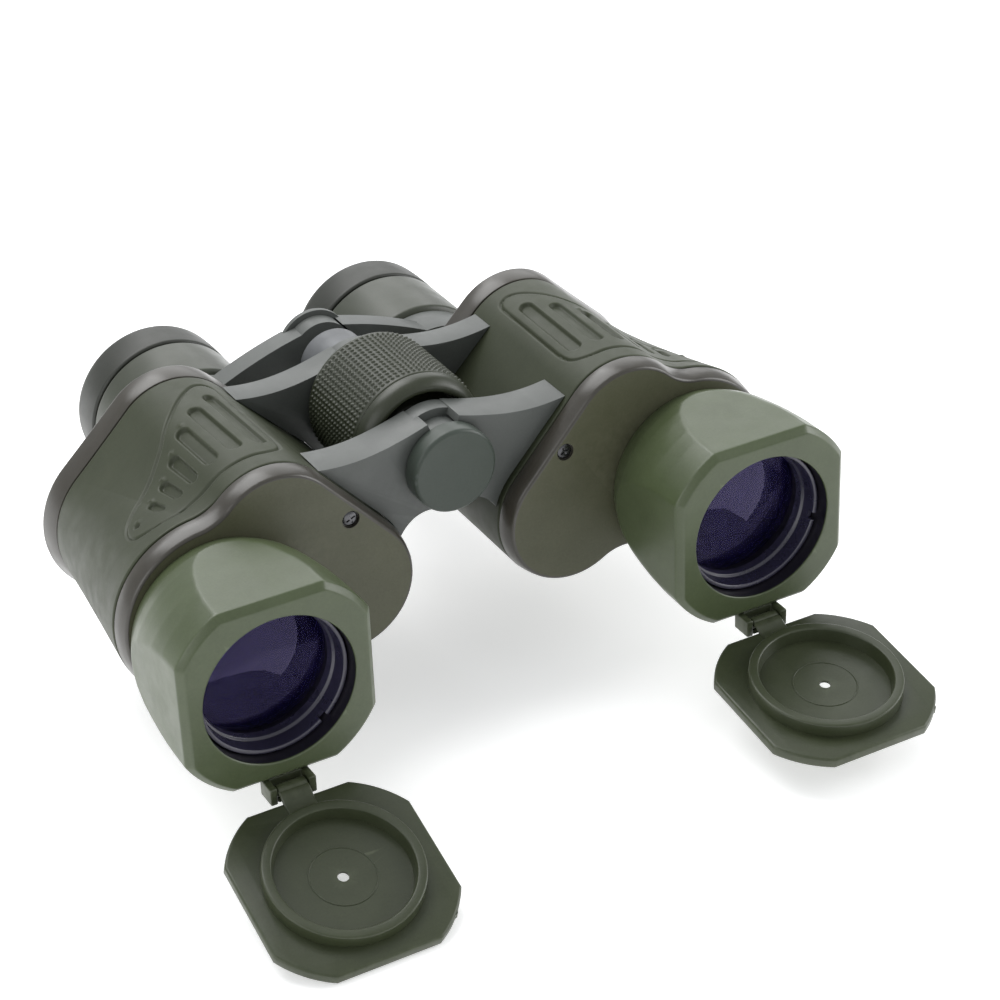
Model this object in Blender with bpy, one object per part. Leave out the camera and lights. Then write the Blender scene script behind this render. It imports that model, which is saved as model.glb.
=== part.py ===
"""Porro-prism binoculars with rubber armour, octagonal hoods and hinged lens covers.

Design frame: +X to the user's left, +Y towards the eyepieces, +Z up. Its origin is midway
between the two hood faces, and y = 0 is the plane of those faces. The assembly empty at the end
moves the whole model so that the row's origin is the bottom centre of its box. Lengths in the
tables below are millimetres, and MM turns them into metres.
"""
import math

import bmesh
import bpy
from mathutils import Vector

MM = 0.001

# ---- driving dimensions (mm) ---------------------------------------------------------------
BORE_R = 20.8                 # clear aperture of an objective hood
HOOD_FLAT = 26.3              # distance of a hood's four flats from its axis
OBJECTIVE_X = 70.9            # objective axis, each side of the centre plane
EYE_X = 35.9                  # eyepiece axis, each side
EYE_Z = -3.4
HINGE_Z = 21.0                # height of the central hinge axis
BODY_FRONT = 36.4             # front face of the prism housing
BODY_REAR = 107.0             # rear face of the prism housing
GAP = 0.3                     # clearance between neighbouring pieces

# prism housing sections: (centre x, centre z, radius) of lobe, bump and objective circles
FACE_SECTION = ((34.0, -3.0, 18.4), (52.4, 18.4, 17.6), (70.7, 2.0, 24.9))
FRONT_SECTION = ((34.0, -3.0, 20.0), (52.2, 18.6, 19.0), (70.8, 2.2, 26.6))
REAR_SECTION = ((34.5, -3.2, 20.2), (53.3, 17.6, 18.6), (66.6, -2.5, 23.6))
PLATE_SECTION = ((34.5, -3.2, 20.2), (53.5, 17.5, 19.2), (66.8, -3.0, 24.8))
FRONT_FILLETS = (14.0, 16.0)  # concave radii below and above the objective circle
REAR_FILLETS = (40.0, 900.0)
ARMOUR_FRONT = 42.3
ARMOUR_REAR = 99.6
PLATE_EDGE = 106.0            # where the rear plate starts to round over
ARMOUR_WALL = 2.0
HOUSING_WALL = 1.7

# hinge knuckles: each arm owns one layer along Y and is cut away in the other
FRONT_ARM = {"y": (44.0, 49.8, 55.0), "radius": (10.8, 13.2)}
REAR_ARM = {"y": (89.4, 93.6, 98.0), "radius": (13.2, 13.2)}
AXLE_R = 4.5

# focusing group
WHEEL_FRONT = 55.6
KNURL_FRONT = 60.7
WHEEL_REAR = 88.3
WHEEL_R = 19.2
BRIDGE_Y = (117.3, 124.0)     # front and rear of the eyepiece bridge's arms
COLLAR_REAR = 128.0
BRIDGE_SPLIT = 122.6          # right arm's knuckle in front of it, left arm's disc behind it
BRIDGE_KNUCKLE_R = 9.2
BRIDGE_DISC_R = 10.6
SPINDLE_R = 2.7

# eyepieces: rear rim of each eyecup
RIM_Y = {"left": 167.7, "right": 164.0}
EYECUP_LENGTH = 14.0
BARREL_R = 23.1
BARREL_FRONT = 128.4

# lens covers
COVER_PIVOT_Y = -1.0
COVER_PIVOT_Z = -29.3
COVER_OPEN_DEG = {"left": 98.0, "right": 109.0}
COVER_FLAT = 25.6
COVER_R = 29.2
COVER_THICK = 3.0
STRAP_WIDTH = 8.3

SIGN = {"left": 1, "right": -1}

# facets round a full turn
LARGE_TURN = 28               # hoods, eyecups, wheel
MEDIUM_TURN = 20              # tubes, collars, knuckles
SMALL_TURN = 12               # screws, spindle, bar

# colour, roughness, metallic
MATERIALS = {
    "rubber_green": ((0.085, 0.092, 0.060), 0.62, 0.0),
    "hood_green": ((0.115, 0.135, 0.090), 0.50, 0.0),
    "cover_plastic": ((0.095, 0.092, 0.072), 0.52, 0.0),
    "arm_paint": ((0.120, 0.130, 0.125), 0.48, 0.0),
    "eyecup_rubber": ((0.075, 0.080, 0.066), 0.68, 0.0),
    "lens_cover": ((0.050, 0.055, 0.038), 0.50, 0.0),
    "black_metal": ((0.020, 0.020, 0.022), 0.40, 0.2),
    "alloy": ((0.420, 0.430, 0.440), 0.40, 1.0),
    "steel": ((0.560, 0.570, 0.580), 0.30, 1.0),
    "brass": ((0.700, 0.540, 0.260), 0.35, 1.0),
    "lens_glass": ((0.120, 0.090, 0.260), 0.05, 0.0),
    "prism_glass": ((0.800, 0.850, 0.880), 0.05, 0.0),
}


# ---- helpers --------------------------------------------------------------------------------
def clear_scene():
    """Remove every object that is in the file."""
    for obj in list(bpy.data.objects):
        bpy.data.objects.remove(obj, do_unlink=True)


def material(slot):
    """Return the Principled material of a slot, made on first use."""
    found = bpy.data.materials.get(slot)
    if found:
        return found
    colour, roughness, metallic = MATERIALS[slot]
    made = bpy.data.materials.new(slot)
    made.use_nodes = True
    shader = made.node_tree.nodes["Principled BSDF"]
    shader.inputs["Base Color"].default_value = (*colour, 1.0)
    shader.inputs["Roughness"].default_value = roughness
    shader.inputs["Metallic"].default_value = metallic
    return made


def empty(name, x, y, z, parent):
    """Make an empty that stands for a moving body, at a point of the design frame (mm)."""
    made = bpy.data.objects.new(name, None)
    bpy.context.scene.collection.objects.link(made)
    made["design_point"] = (x, y, z)
    origin = Vector((x, y, z))
    if parent is not None:
        made.parent = parent
        origin -= Vector(parent["design_point"])
    made.location = origin * MM
    return made


def solid(name, bm, slot, body):
    """Turn a bmesh in design millimetres into a closed, outward facing object of a body."""
    bmesh.ops.recalc_face_normals(bm, faces=bm.faces)
    origin = Vector(body["design_point"])
    for vert in bm.verts:
        vert.co = (vert.co - origin) * MM
    mesh = bpy.data.meshes.new(name)
    bm.to_mesh(mesh)
    bm.free()
    mesh.materials.append(material(slot))
    mesh.shade_smooth()
    mesh.set_sharp_from_angle(angle=math.radians(35))
    obj = bpy.data.objects.new(name, mesh)
    bpy.context.scene.collection.objects.link(obj)
    obj.parent = body
    return obj


def boolean(target, tool, operation):
    """Add a Boolean to target and keep the tool as a hidden guide."""
    modifier = target.modifiers.new(tool.name, "BOOLEAN")
    modifier.operation = operation
    modifier.solver = "EXACT"
    modifier.object = tool
    tool.hide_render = True
    tool.display_type = "WIRE"


def cut(target, *tools):
    """Cut tools out of target."""
    for tool in tools:
        boolean(target, tool, "DIFFERENCE")


def fuse(target, *tools):
    """Join tools to target."""
    for tool in tools:
        boolean(target, tool, "UNION")


def arc(cx, cz, radius, start, end, steps):
    """Points along a circle from angle start to end (degrees), both ends included."""
    points = []
    for step in range(steps + 1):
        angle = math.radians(start + (end - start) * step / steps)
        points.append((cx + radius * math.cos(angle), cz + radius * math.sin(angle)))
    return points


def bezier(p0, p1, p2, p3, steps):
    """Points along a cubic curve, both ends included."""
    points = []
    for step in range(steps + 1):
        t = step / steps
        a, b, c, d = (1 - t) ** 3, 3 * t * (1 - t) ** 2, 3 * t * t * (1 - t), t ** 3
        points.append(tuple(a * p0[i] + b * p1[i] + c * p2[i] + d * p3[i] for i in (0, 1)))
    return points


def grow(section, amount):
    """Offset a housing section by changing its three radii."""
    return tuple((x, z, radius + amount) for x, z, radius in section)


def fillet_centre(c1, c2, fillet, upper):
    """Centre of the circle that touches two circles from outside, above or below them."""
    r1, r2 = c1[2] + fillet, c2[2] + fillet
    dx, dz = c2[0] - c1[0], c2[1] - c1[1]
    distance = math.hypot(dx, dz)
    along = (r1 * r1 - r2 * r2 + distance * distance) / (2 * distance)
    across = math.sqrt(r1 * r1 - along * along)
    if not upper:
        across = -across
    return (c1[0] + (along * dx - across * dz) / distance,
            c1[1] + (along * dz + across * dx) / distance)


def angle_to(a, b):
    """Angle in degrees of the direction from a to b."""
    return math.degrees(math.atan2(b[1] - a[1], b[0] - a[0]))


def sweep(start, end, turn):
    """End angle moved by full turns so that it lies after start for turn +1, before for -1."""
    while turn > 0 and end < start:
        end += 360
    while turn < 0 and end > start:
        end -= 360
    return end


def housing_outline(section, fillets):
    """Outline of the prism housing on the +X side: three circles, two fillets, one flat."""
    lobe, bump, objective = section
    low = fillet_centre(lobe, objective, fillets[0], False)
    high = fillet_centre(objective, bump, fillets[1], False)
    dx, dz = lobe[0] - bump[0], lobe[1] - bump[1]
    distance = math.hypot(dx, dz)
    flat = math.degrees(math.atan2(dz, dx) - math.acos((bump[2] - lobe[2]) / distance))
    points = []
    pieces = (
        (objective, angle_to(objective, low), angle_to(objective, high), objective[2], 1, 12),
        (high, angle_to(high, objective), angle_to(high, bump), fillets[1], -1, 4),
        (bump, angle_to(bump, high), flat, bump[2], 1, 7),
        (lobe, flat, angle_to(lobe, low), lobe[2], 1, 8),
        (low, angle_to(low, lobe), angle_to(low, objective), fillets[0], -1, 3),
    )
    for centre, start, end, radius, turn, steps in pieces:
        stretch = arc(centre[0], centre[1], radius, start, sweep(start, end, turn), steps)
        points.extend(stretch[:-1] if centre is not bump else stretch)
    return points


def barrel_outline(side, y, offset):
    """Outline of the armour at depth y, grown by offset; straight between its two ends."""
    t = (y - ARMOUR_FRONT) / (ARMOUR_REAR - ARMOUR_FRONT)
    front = housing_outline(grow(FRONT_SECTION, offset), [f - offset for f in FRONT_FILLETS])
    rear = housing_outline(grow(REAR_SECTION, offset), [f - offset for f in REAR_FILLETS])
    points = [(a[0] + (b[0] - a[0]) * t, a[1] + (b[1] - a[1]) * t) for a, b in zip(front, rear)]
    return mirrored(points, side)


def mirrored(points, side):
    """Outline for a side: the +X outline, or its mirror image."""
    return [(SIGN[side] * x, z) for x, z in points]


def loft(loops, closed=False):
    """Bridge loops of (outline, y); a closed loft is a sleeve, an open one gets end faces.

    Each quad is split from its front edge's first corner, so nested surfaces keep their distance.
    """
    bm = bmesh.new()
    rings = [(y, [bm.verts.new((x, y, z)) for x, z in outline]) for outline, y in loops]
    pairs = list(zip(rings, rings[1:]))
    if closed:
        pairs.append((rings[-1], rings[0]))
    for pair in pairs:
        near, far = (ring for _, ring in sorted(pair, key=lambda item: item[0]))
        count = len(near)
        for i in range(count):
            j = (i + 1) % count
            bm.faces.new((near[i], near[j], far[j]))
            bm.faces.new((near[i], far[j], far[i]))
    if not closed:
        bm.faces.new(rings[0][1])
        bm.faces.new(rings[-1][1])
    return bm


def prism(outline, y0, y1):
    """Straight extrusion of an outline along Y."""
    return loft([(outline, y0), (outline, y1)])


def turned(profile, cx, cz, steps=MEDIUM_TURN):
    """Turn (radius, y) points about an axis parallel to Y; profile ends at radius 0 are poles."""
    if profile[0][0] == 0 and profile[-1][0] == 0:
        bm = bmesh.new()
        rings = []
        for radius, y in profile[1:-1]:
            rings.append([bm.verts.new((x, y, z)) for x, z in circle(cx, cz, radius, steps)])
        for first, second in zip(rings, rings[1:]):
            for i in range(steps):
                j = (i + 1) % steps
                bm.faces.new((first[i], first[j], second[j], second[i]))
        for ring, (_, y) in ((rings[0], profile[0]), (rings[-1], profile[-1])):
            pole = bm.verts.new((cx, y, cz))
            for i in range(steps):
                bm.faces.new((ring[i], ring[(i + 1) % steps], pole))
        return bm
    return loft([(circle(cx, cz, radius, steps), y) for radius, y in profile], closed=True)


def circle(cx, cz, radius, steps):
    """Closed outline of a circle."""
    return arc(cx, cz, radius, 0, 360 * (steps - 1) / steps, steps - 1)


def tube(outer, inner, y0, y1, cx, cz, steps=MEDIUM_TURN):
    """Plain tube along Y."""
    return turned([(outer, y0), (outer, y1), (inner, y1), (inner, y0)], cx, cz, steps)


def disc(radius, y0, y1, cx, cz, steps=MEDIUM_TURN):
    """Plain cylinder along Y."""
    return prism(circle(cx, cz, radius, steps), y0, y1)


def block(x0, x1, y0, y1, z0, z1):
    """Box between two corners."""
    return prism([(x0, z0), (x1, z0), (x1, z1), (x0, z1)], y0, y1)


def square(half, cx):
    """Square outline about (cx, 0)."""
    return [(cx - half, -half), (cx + half, -half), (cx + half, half), (cx - half, half)]


def rounded_square(flat, radius, cx, cz, steps=3):
    """Circle of the given radius cut by four flats: the octagon-like outline of a hood."""
    half = math.degrees(math.acos(flat / radius))
    points = []
    for corner in range(4):
        points += arc(cx, cz, radius, corner * 90 + half, corner * 90 + 90 - half, steps)
    return points


# ---- one barrel -----------------------------------------------------------------------------
def prism_housing(side, body):
    """Alloy shell, rubber armour over it, and the two plastic end plates."""
    def section(y, offset):
        return barrel_outline(side, y, offset), y

    def sleeve(outside, inside):
        ends = (ARMOUR_FRONT, ARMOUR_REAR)
        return loft([section(ends[0], outside), section(ends[1], outside),
                     section(ends[1], inside), section(ends[0], inside)], closed=True)

    shell = -ARMOUR_WALL - GAP
    solid(f"{side}_rubber_armour", sleeve(0.0, -ARMOUR_WALL), "rubber_green", body)
    solid(f"{side}_prism_housing", sleeve(shell, shell - HOUSING_WALL), "alloy", body)

    def end_plate(circles, fillets, offset, y):
        shape = housing_outline(grow(circles, offset), [f - offset for f in fillets])
        return mirrored(shape, side), y

    def face(offset, y):
        return end_plate(FACE_SECTION, FRONT_FILLETS, offset, y)

    def back(offset, y):
        return end_plate(PLATE_SECTION, REAR_FILLETS, offset, y)

    objective_x = SIGN[side] * OBJECTIVE_X
    eye_x = SIGN[side] * EYE_X
    rim = ARMOUR_FRONT - GAP
    front = solid(f"{side}_front_plate", loft([
        face(-1.6, BODY_FRONT + 2.2), face(-0.4, rim), face(1.6, rim), face(1.2, BODY_FRONT + 2.6),
        face(0.6, BODY_FRONT + 0.5), face(0.0, BODY_FRONT)]), "cover_plastic", body)
    cut(front, solid(f"{side}_light_port",
                     disc(BORE_R, BODY_FRONT - 1, BODY_FRONT + 4, objective_x, 0), "black_metal", body))

    rear_rim = ARMOUR_REAR + GAP
    rear = solid(f"{side}_rear_plate", loft([
        back(-2.6, BODY_REAR - 2.4), section(rear_rim, -2.2), section(rear_rim, 0.1),
        back(0.0, PLATE_EDGE), back(-1.0, BODY_REAR)]), "cover_plastic", body)
    boss = turned([(0, BODY_REAR - 1.0), (18.6, BODY_REAR - 1.0), (18.4, BODY_REAR + 1.0),
                   (18.0, BODY_REAR + 3.4), (17.0, BODY_REAR + 4.5), (0, BODY_REAR + 4.5)],
                  eye_x, EYE_Z, MEDIUM_TURN)
    fuse(rear, solid(f"{side}_guide_boss", boss, "cover_plastic", body))
    cut(rear, solid(f"{side}_eye_port",
                    disc(15.1, BODY_REAR - 4, BODY_REAR + 6, eye_x, EYE_Z), "black_metal", body))

    screw_x = SIGN[side] * 32.0
    screw_z = 17.7
    recess = solid(f"{side}_screw_recess", turned([
        (0, BODY_FRONT - 1), (2.5, BODY_FRONT - 1), (2.5, BODY_FRONT + 0.9), (1.3, BODY_FRONT + 0.9),
        (1.3, BODY_FRONT + 4), (0, BODY_FRONT + 4)], screw_x, screw_z, SMALL_TURN), "steel", body)
    cut(front, recess)
    screw = solid(f"{side}_plate_screw", turned([
        (0, BODY_FRONT + 0.1), (1.4, BODY_FRONT + 0.1), (2.1, BODY_FRONT + 0.5),
        (1.0, BODY_FRONT + 0.85), (1.0, rim - 0.5), (0, rim - 0.5)],
        screw_x, screw_z, SMALL_TURN), "steel", body)
    for name, half_x, half_z in (("a", 0.25, 1.3), ("b", 1.3, 0.25)):
        cut(screw, solid(f"{side}_screw_slot_{name}", block(
            screw_x - half_x, screw_x + half_x, BODY_FRONT - 1, BODY_FRONT + 0.6,
            screw_z - half_z, screw_z + half_z), "steel", body))


def porro_prism(side, body, name, first, second, base_y, apex_y):
    """Right-angle prism whose long face spans two optical axes, pointing along Y."""
    half_length, half_width, tip = 22.0, 9.5, 1.5
    dx, dz = second[0] - first[0], second[1] - first[1]
    length = math.hypot(dx, dz)
    along = (dx / length, dz / length)
    across = (-along[1], along[0])
    cx, cz = (first[0] + second[0]) / 2, (first[1] + second[1]) / 2
    bm = bmesh.new()
    rings = []
    for half, y in ((half_length, base_y), (tip, apex_y)):
        corners = ((-half, -half_width), (half, -half_width), (half, half_width), (-half, half_width))
        rings.append([bm.verts.new((SIGN[side] * (cx + a * along[0] + c * across[0]), y,
                                    cz + a * along[1] + c * across[1])) for a, c in corners])
    for i in range(4):
        j = (i + 1) % 4
        bm.faces.new((rings[0][i], rings[0][j], rings[1][j], rings[1][i]))
    bm.faces.new(rings[0])
    bm.faces.new(rings[1])
    solid(f"{side}_{name}", bm, "prism_glass", body)


def prisms(side, body):
    """Two Porro prisms back to back on a shelf inside the housing."""
    shelf_front, shelf_rear = 65.6, 67.4
    objective = (OBJECTIVE_X, 0.0)
    eyepiece = (EYE_X, EYE_Z)
    middle = ((objective[0] + eyepiece[0]) / 2, (objective[1] + eyepiece[1]) / 2)
    reach = ((eyepiece[1] - objective[1]) / 2, (objective[0] - eyepiece[0]) / 2)
    corner = (middle[0] + reach[0], middle[1] + reach[1])
    porro_prism(side, body, "rear_prism", objective, corner, shelf_rear + GAP, shelf_rear + 21)
    porro_prism(side, body, "front_prism", corner, eyepiece, shelf_front - GAP, shelf_front - 21)
    outline = barrel_outline(side, (shelf_front + shelf_rear) / 2, -ARMOUR_WALL - HOUSING_WALL - 1.0)
    shelf = solid(f"{side}_prism_shelf", prism(outline, shelf_front, shelf_rear), "alloy", body)
    for name, (x, z) in (("a", objective), ("b", corner), ("c", eyepiece)):
        hole = disc(8.0, shelf_front - 1, shelf_rear + 1, SIGN[side] * x, z, SMALL_TURN)
        cut(shelf, solid(f"{side}_shelf_port_{name}", hole, "alloy", body))


def objective_group(side, body):
    """Octagonal hood with its lens cell, doublet and retaining ring."""
    x = SIGN[side] * OBJECTIVE_X
    base = BODY_FRONT - GAP
    hood = solid(f"{side}_objective_hood", turned([
        (24.2, base), (26.9, 30.0), (28.9, 20.0), (30.0, 8.0), (30.0, 1.7), (28.3, 0.0),
        (BORE_R, 0.0), (BORE_R, base)], x, 0, LARGE_TURN),
        "hood_green", body)
    flats = loft([(square(25.6 - 1.7, x), -1.0), (square(25.6, x), 0.7), (square(HOOD_FLAT, x), 1.4),
                  (square(HOOD_FLAT, x), 40.0)])
    boolean(hood, solid(f"{side}_hood_flats", flats, "hood_green", body), "INTERSECT")

    solid(f"{side}_lens_cell", tube(20.4, 19.5, 11.6, 35.6, x, 0, MEDIUM_TURN), "black_metal", body)
    ring = solid(f"{side}_retaining_ring", turned([
        (20.4, 4.0), (20.4, 11.3), (18.3, 11.3), (18.3, 8.4), (19.2, 8.4), (19.2, 4.0)],
        x, 0, MEDIUM_TURN), "black_metal", body)
    for name, half_x, half_z in (("a", 24.0, 1.1), ("b", 1.1, 24.0)):
        slot = block(x - half_x, x + half_x, 3.0, 5.8, -half_z, half_z)
        cut(ring, solid(f"{side}_spanner_slot_{name}", slot, "black_metal", body))
    solid(f"{side}_objective_front_lens", turned([
        (0, 11.8), (10.0, 12.4), (19.2, 14.2), (19.2, 15.4), (10.0, 17.4), (0, 18.0)],
        x, 0, MEDIUM_TURN), "lens_glass", body)
    solid(f"{side}_objective_rear_lens", turned([
        (0, 18.3), (10.0, 17.7), (19.2, 15.7), (19.2, 20.0), (10.0, 19.6), (0, 19.4)],
        x, 0, MEDIUM_TURN), "lens_glass", body)


def cover_bracket(side, body):
    """Loop under the hood with the bar that the cover's strap wraps round."""
    x = SIGN[side] * OBJECTIVE_X
    half, slot = 6.4, STRAP_WIDTH / 2 + GAP
    bracket = solid(f"{side}_cover_bracket", block(
        x - half, x + half, -2.8, 3.6, COVER_PIVOT_Z - 2.0, -26.6), "lens_cover", body)
    cut(bracket, solid(f"{side}_bracket_slot", block(
        x - slot, x + slot, -4.0, 2.0, COVER_PIVOT_Z - 3, -26.0), "lens_cover", body))
    bar = solid(f"{side}_bracket_bar", x_rod(0.9, x - half + 1, x + half - 1,
                                             COVER_PIVOT_Y, COVER_PIVOT_Z, SMALL_TURN), "lens_cover", body)
    fuse(bracket, bar)


def x_rod(radius, x0, x1, y, z, steps):
    """Cylinder along X."""
    bm = bmesh.new()
    ring = circle(y, z, radius, steps)
    ends = [[bm.verts.new((x, a, b)) for a, b in ring] for x in (x0, x1)]
    for i in range(steps):
        j = (i + 1) % steps
        bm.faces.new((ends[0][i], ends[0][j], ends[1][j], ends[1][i]))
    bm.faces.new(ends[0])
    bm.faces.new(ends[1])
    return bm


def lens_cover(side, body):
    """Flip-down cover, modelled shut; its body's empty turns it open about the bracket's bar."""
    x = SIGN[side] * OBJECTIVE_X
    back = -GAP
    front = back - COVER_THICK
    plate = solid(f"{side}_lens_cover", loft([
        (rounded_square(COVER_FLAT - 0.6, COVER_R - 0.6, x, 0), front),
        (rounded_square(COVER_FLAT, COVER_R, x, 0), front + 0.6),
        (rounded_square(COVER_FLAT, COVER_R, x, 0), back)]), "lens_cover", body)
    ring = tube(20.2, 17.6, back - 0.5, back + 3.9, x, 0, MEDIUM_TURN)
    hole = disc(1.2, front - 1, back + 1, x, 0, SMALL_TURN)
    half = STRAP_WIDTH / 2
    strap = block(x - half, x + half, front + 0.5, front + 1.8, COVER_PIVOT_Z, -COVER_FLAT + 0.4)
    loop = x_rod(2.2, x - half, x + half, COVER_PIVOT_Y, COVER_PIVOT_Z, SMALL_TURN)
    eye = x_rod(1.25, x - half - 1, x + half + 1, COVER_PIVOT_Y, COVER_PIVOT_Z, SMALL_TURN)
    fuse(plate, solid(f"{side}_cover_ring", ring, "lens_cover", body),
         solid(f"{side}_cover_strap", strap, "lens_cover", body),
         solid(f"{side}_strap_loop", loop, "lens_cover", body))
    cut(plate, solid(f"{side}_cover_hole", hole, "lens_cover", body),
        solid(f"{side}_strap_eye", eye, "lens_cover", body))


def hinge_arm(side, body, name, arm, own_layer):
    """Bridge arm from the housing to the hinge, with its knuckle in one of two layers."""
    y0, middle, y1 = arm["y"]
    layers = ((y0, middle - 0.1), (middle + 0.1, y1))
    own = layers[own_layer]
    other = layers[1 - own_layer]
    blade = bezier((44, 31.6), (30, 27.6), (20, 28.8), (4.7, 33.7), 7)
    blade.append((0, HINGE_Z))
    blade += bezier((4.3, 8.0), (9.0, 8.6), (13.5, 6.5), (16.8, -2.0), 5)
    blade.append((44, -2))
    made = solid(f"{side}_{name}", prism(mirrored(blade, side), y0, y1), "arm_paint", body)
    trim = barrel_outline(side, (y0 + y1) / 2, 0.6)
    guides = (
        ("trim", prism(trim, y0 - 1, y1 + 1), "cut"),
        ("relief", disc(arm["radius"][1 - own_layer] + 0.5, other[0] - 1 if own_layer else own[1],
                        own[0] if own_layer else other[1] + 1, 0, HINGE_Z, LARGE_TURN), "cut"),
        ("knuckle", disc(arm["radius"][own_layer], own[0], own[1], 0, HINGE_Z, LARGE_TURN), "fuse"),
        ("bore", disc(AXLE_R + GAP, y0 - 2, y1 + 2, 0, HINGE_Z, MEDIUM_TURN), "cut"),
    )
    for suffix, bm, action in guides:
        guide = solid(f"{side}_{name}_{suffix}", bm, "arm_paint", body)
        if action == "cut":
            cut(made, guide)
        else:
            fuse(made, guide)


# ---- eyepieces ------------------------------------------------------------------------------
def ocular_bridge(side, body):
    """Arm that carries an eyepiece; the left one has the hub that the focus spindle moves."""
    front, rear = BRIDGE_Y
    x = SIGN[side] * EYE_X
    blade = [(3.5, 28.4), (9.1, 27.3), (20.0, 24.0), (32.2, 19.3), (44, 12), (34, -12), (19, 0),
             (6, 12.6)]
    arm = solid(f"{side}_ocular_bridge", prism(mirrored(blade, side), front, rear), "arm_paint", body)
    if side == "left":
        own = (BRIDGE_SPLIT + 0.2, rear + 0.2, BRIDGE_DISC_R)
        other = (front - 1, BRIDGE_SPLIT, BRIDGE_KNUCKLE_R + 0.5)
    else:
        own = (front, BRIDGE_SPLIT - 0.2, BRIDGE_KNUCKLE_R)
        other = (BRIDGE_SPLIT - 0.1, rear + 1, BRIDGE_DISC_R + 0.5)
    relief = disc(other[2], other[0], other[1], 0, HINGE_Z, LARGE_TURN)
    cut(arm, solid(f"{side}_bridge_relief", relief, "arm_paint", body))
    knuckle = disc(own[2], own[0], own[1], 0, HINGE_Z, LARGE_TURN)
    collar = disc(21.9, front, COLLAR_REAR, x, EYE_Z, LARGE_TURN)
    fuse(arm, solid(f"{side}_bridge_knuckle", knuckle, "arm_paint", body),
         solid(f"{side}_bridge_collar", collar, "arm_paint", body))
    spindle_bore = disc(SPINDLE_R + GAP, front - 1, rear + 1, 0, HINGE_Z, SMALL_TURN)
    cut(arm, solid(f"{side}_spindle_bore", spindle_bore, "arm_paint", body),
        solid(f"{side}_collar_bore", disc(14.9, front - 1, COLLAR_REAR + 1, x, EYE_Z, MEDIUM_TURN),
              "arm_paint", body))
    barrel = tube(14.6, 13.3, 94.0, BARREL_FRONT - 1.2, x, EYE_Z, MEDIUM_TURN)
    solid(f"{side}_ocular_tube", barrel, "alloy", body)


def eyepiece(side, lens_body, ring_body):
    """Lens sleeve with its two lenses, then the outer barrel and the rubber eyecup."""
    x = SIGN[side] * EYE_X
    rim = RIM_Y[side]
    groove = rim - EYECUP_LENGTH
    sleeve = tube(13.0, 11.9, 101.0, groove - 1.5, x, EYE_Z, MEDIUM_TURN)
    solid(f"{side}_lens_sleeve", sleeve, "black_metal", lens_body)
    solid(f"{side}_field_lens", turned([
        (0, 104.0), (6.0, 104.5), (11.6, 106.0), (11.6, 107.4), (0, 107.4)], x, EYE_Z, MEDIUM_TURN),
        "lens_glass", lens_body)
    solid(f"{side}_eye_lens", turned([
        (0, groove - 7.5), (6.0, groove - 7.1), (11.6, groove - 5.5), (11.6, groove - 3.8),
        (6.0, groove - 3.0), (0, groove - 2.7)], x, EYE_Z, MEDIUM_TURN), "lens_glass", lens_body)
    name = "left_eyepiece_barrel" if side == "left" else "right_diopter_ring"
    solid(name, turned([
        (14.9, BARREL_FRONT), (BARREL_R - 0.9, BARREL_FRONT), (BARREL_R, BARREL_FRONT + 0.9),
        (BARREL_R, groove - 0.9), (BARREL_R - 0.5, groove - 0.4), (20.0, groove - 0.4),
        (20.0, BARREL_FRONT + 2.6), (14.9, BARREL_FRONT + 2.6)],
        x, EYE_Z, LARGE_TURN), "cover_plastic", ring_body)
    solid(f"{side}_eyecup", turned([
        (13.4, groove), (BARREL_R, groove), (BARREL_R + 0.1, groove + 6.5), (BARREL_R - 0.3, rim - 2.0),
        (BARREL_R - 2.0, rim), (BARREL_R - 3.4, rim - 0.4), (16.6, groove + 3.4),
        (13.4, groove + 2.4)], x, EYE_Z, LARGE_TURN), "eyecup_rubber", ring_body)


# ---- centre hinge and focusing --------------------------------------------------------------
def hinge_axle(body):
    """Hollow axle, its rear collar, washers and the tripod socket in its front end."""
    solid("hinge_axle", tube(AXLE_R, 3.1, 52.0, 98.6, 0, HINGE_Z, MEDIUM_TURN), "steel", body)
    socket = turned([(0, 51.7), (AXLE_R, 51.7), (AXLE_R, 44.2), (3.2, 44.2), (3.2, 50.6), (0, 50.6)],
                    0, HINGE_Z, MEDIUM_TURN)
    solid("tripod_socket", socket, "brass", body)
    collar = turned([(9.9, 99.0), (9.9, 111.6), (9.4, 112.0), (3.1, 112.0), (3.1, 99.0)],
                    0, HINGE_Z, MEDIUM_TURN)
    solid("rear_collar", collar, "alloy", body)
    solid("front_washer", tube(8.0, AXLE_R + GAP, 55.06, 55.5, 0, HINGE_Z, MEDIUM_TURN), "brass", body)


def focus_wheel(body):
    """Moulded wheel core with a hollow front and a knurled grip sleeve."""
    core = turned([
        (17.0, KNURL_FRONT - 0.2), (18.6, KNURL_FRONT - 0.2), (18.2, 58.0), (15.8, WHEEL_FRONT),
        (14.4, 56.2), (14.0, 64.0), (7.0, 64.0), (7.0, 57.0), (AXLE_R + GAP, 57.0),
        (AXLE_R + GAP, WHEEL_REAR), (17.0, WHEEL_REAR)],
        0, HINGE_Z, LARGE_TURN)
    solid("focus_wheel_core", core, "cover_plastic", body)
    grip = tube(WHEEL_R, 17.3, KNURL_FRONT + 0.1, WHEEL_REAR - 0.1, 0, HINGE_Z, LARGE_TURN)
    solid("focus_wheel_grip", grip, "rubber_green", body)


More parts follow.
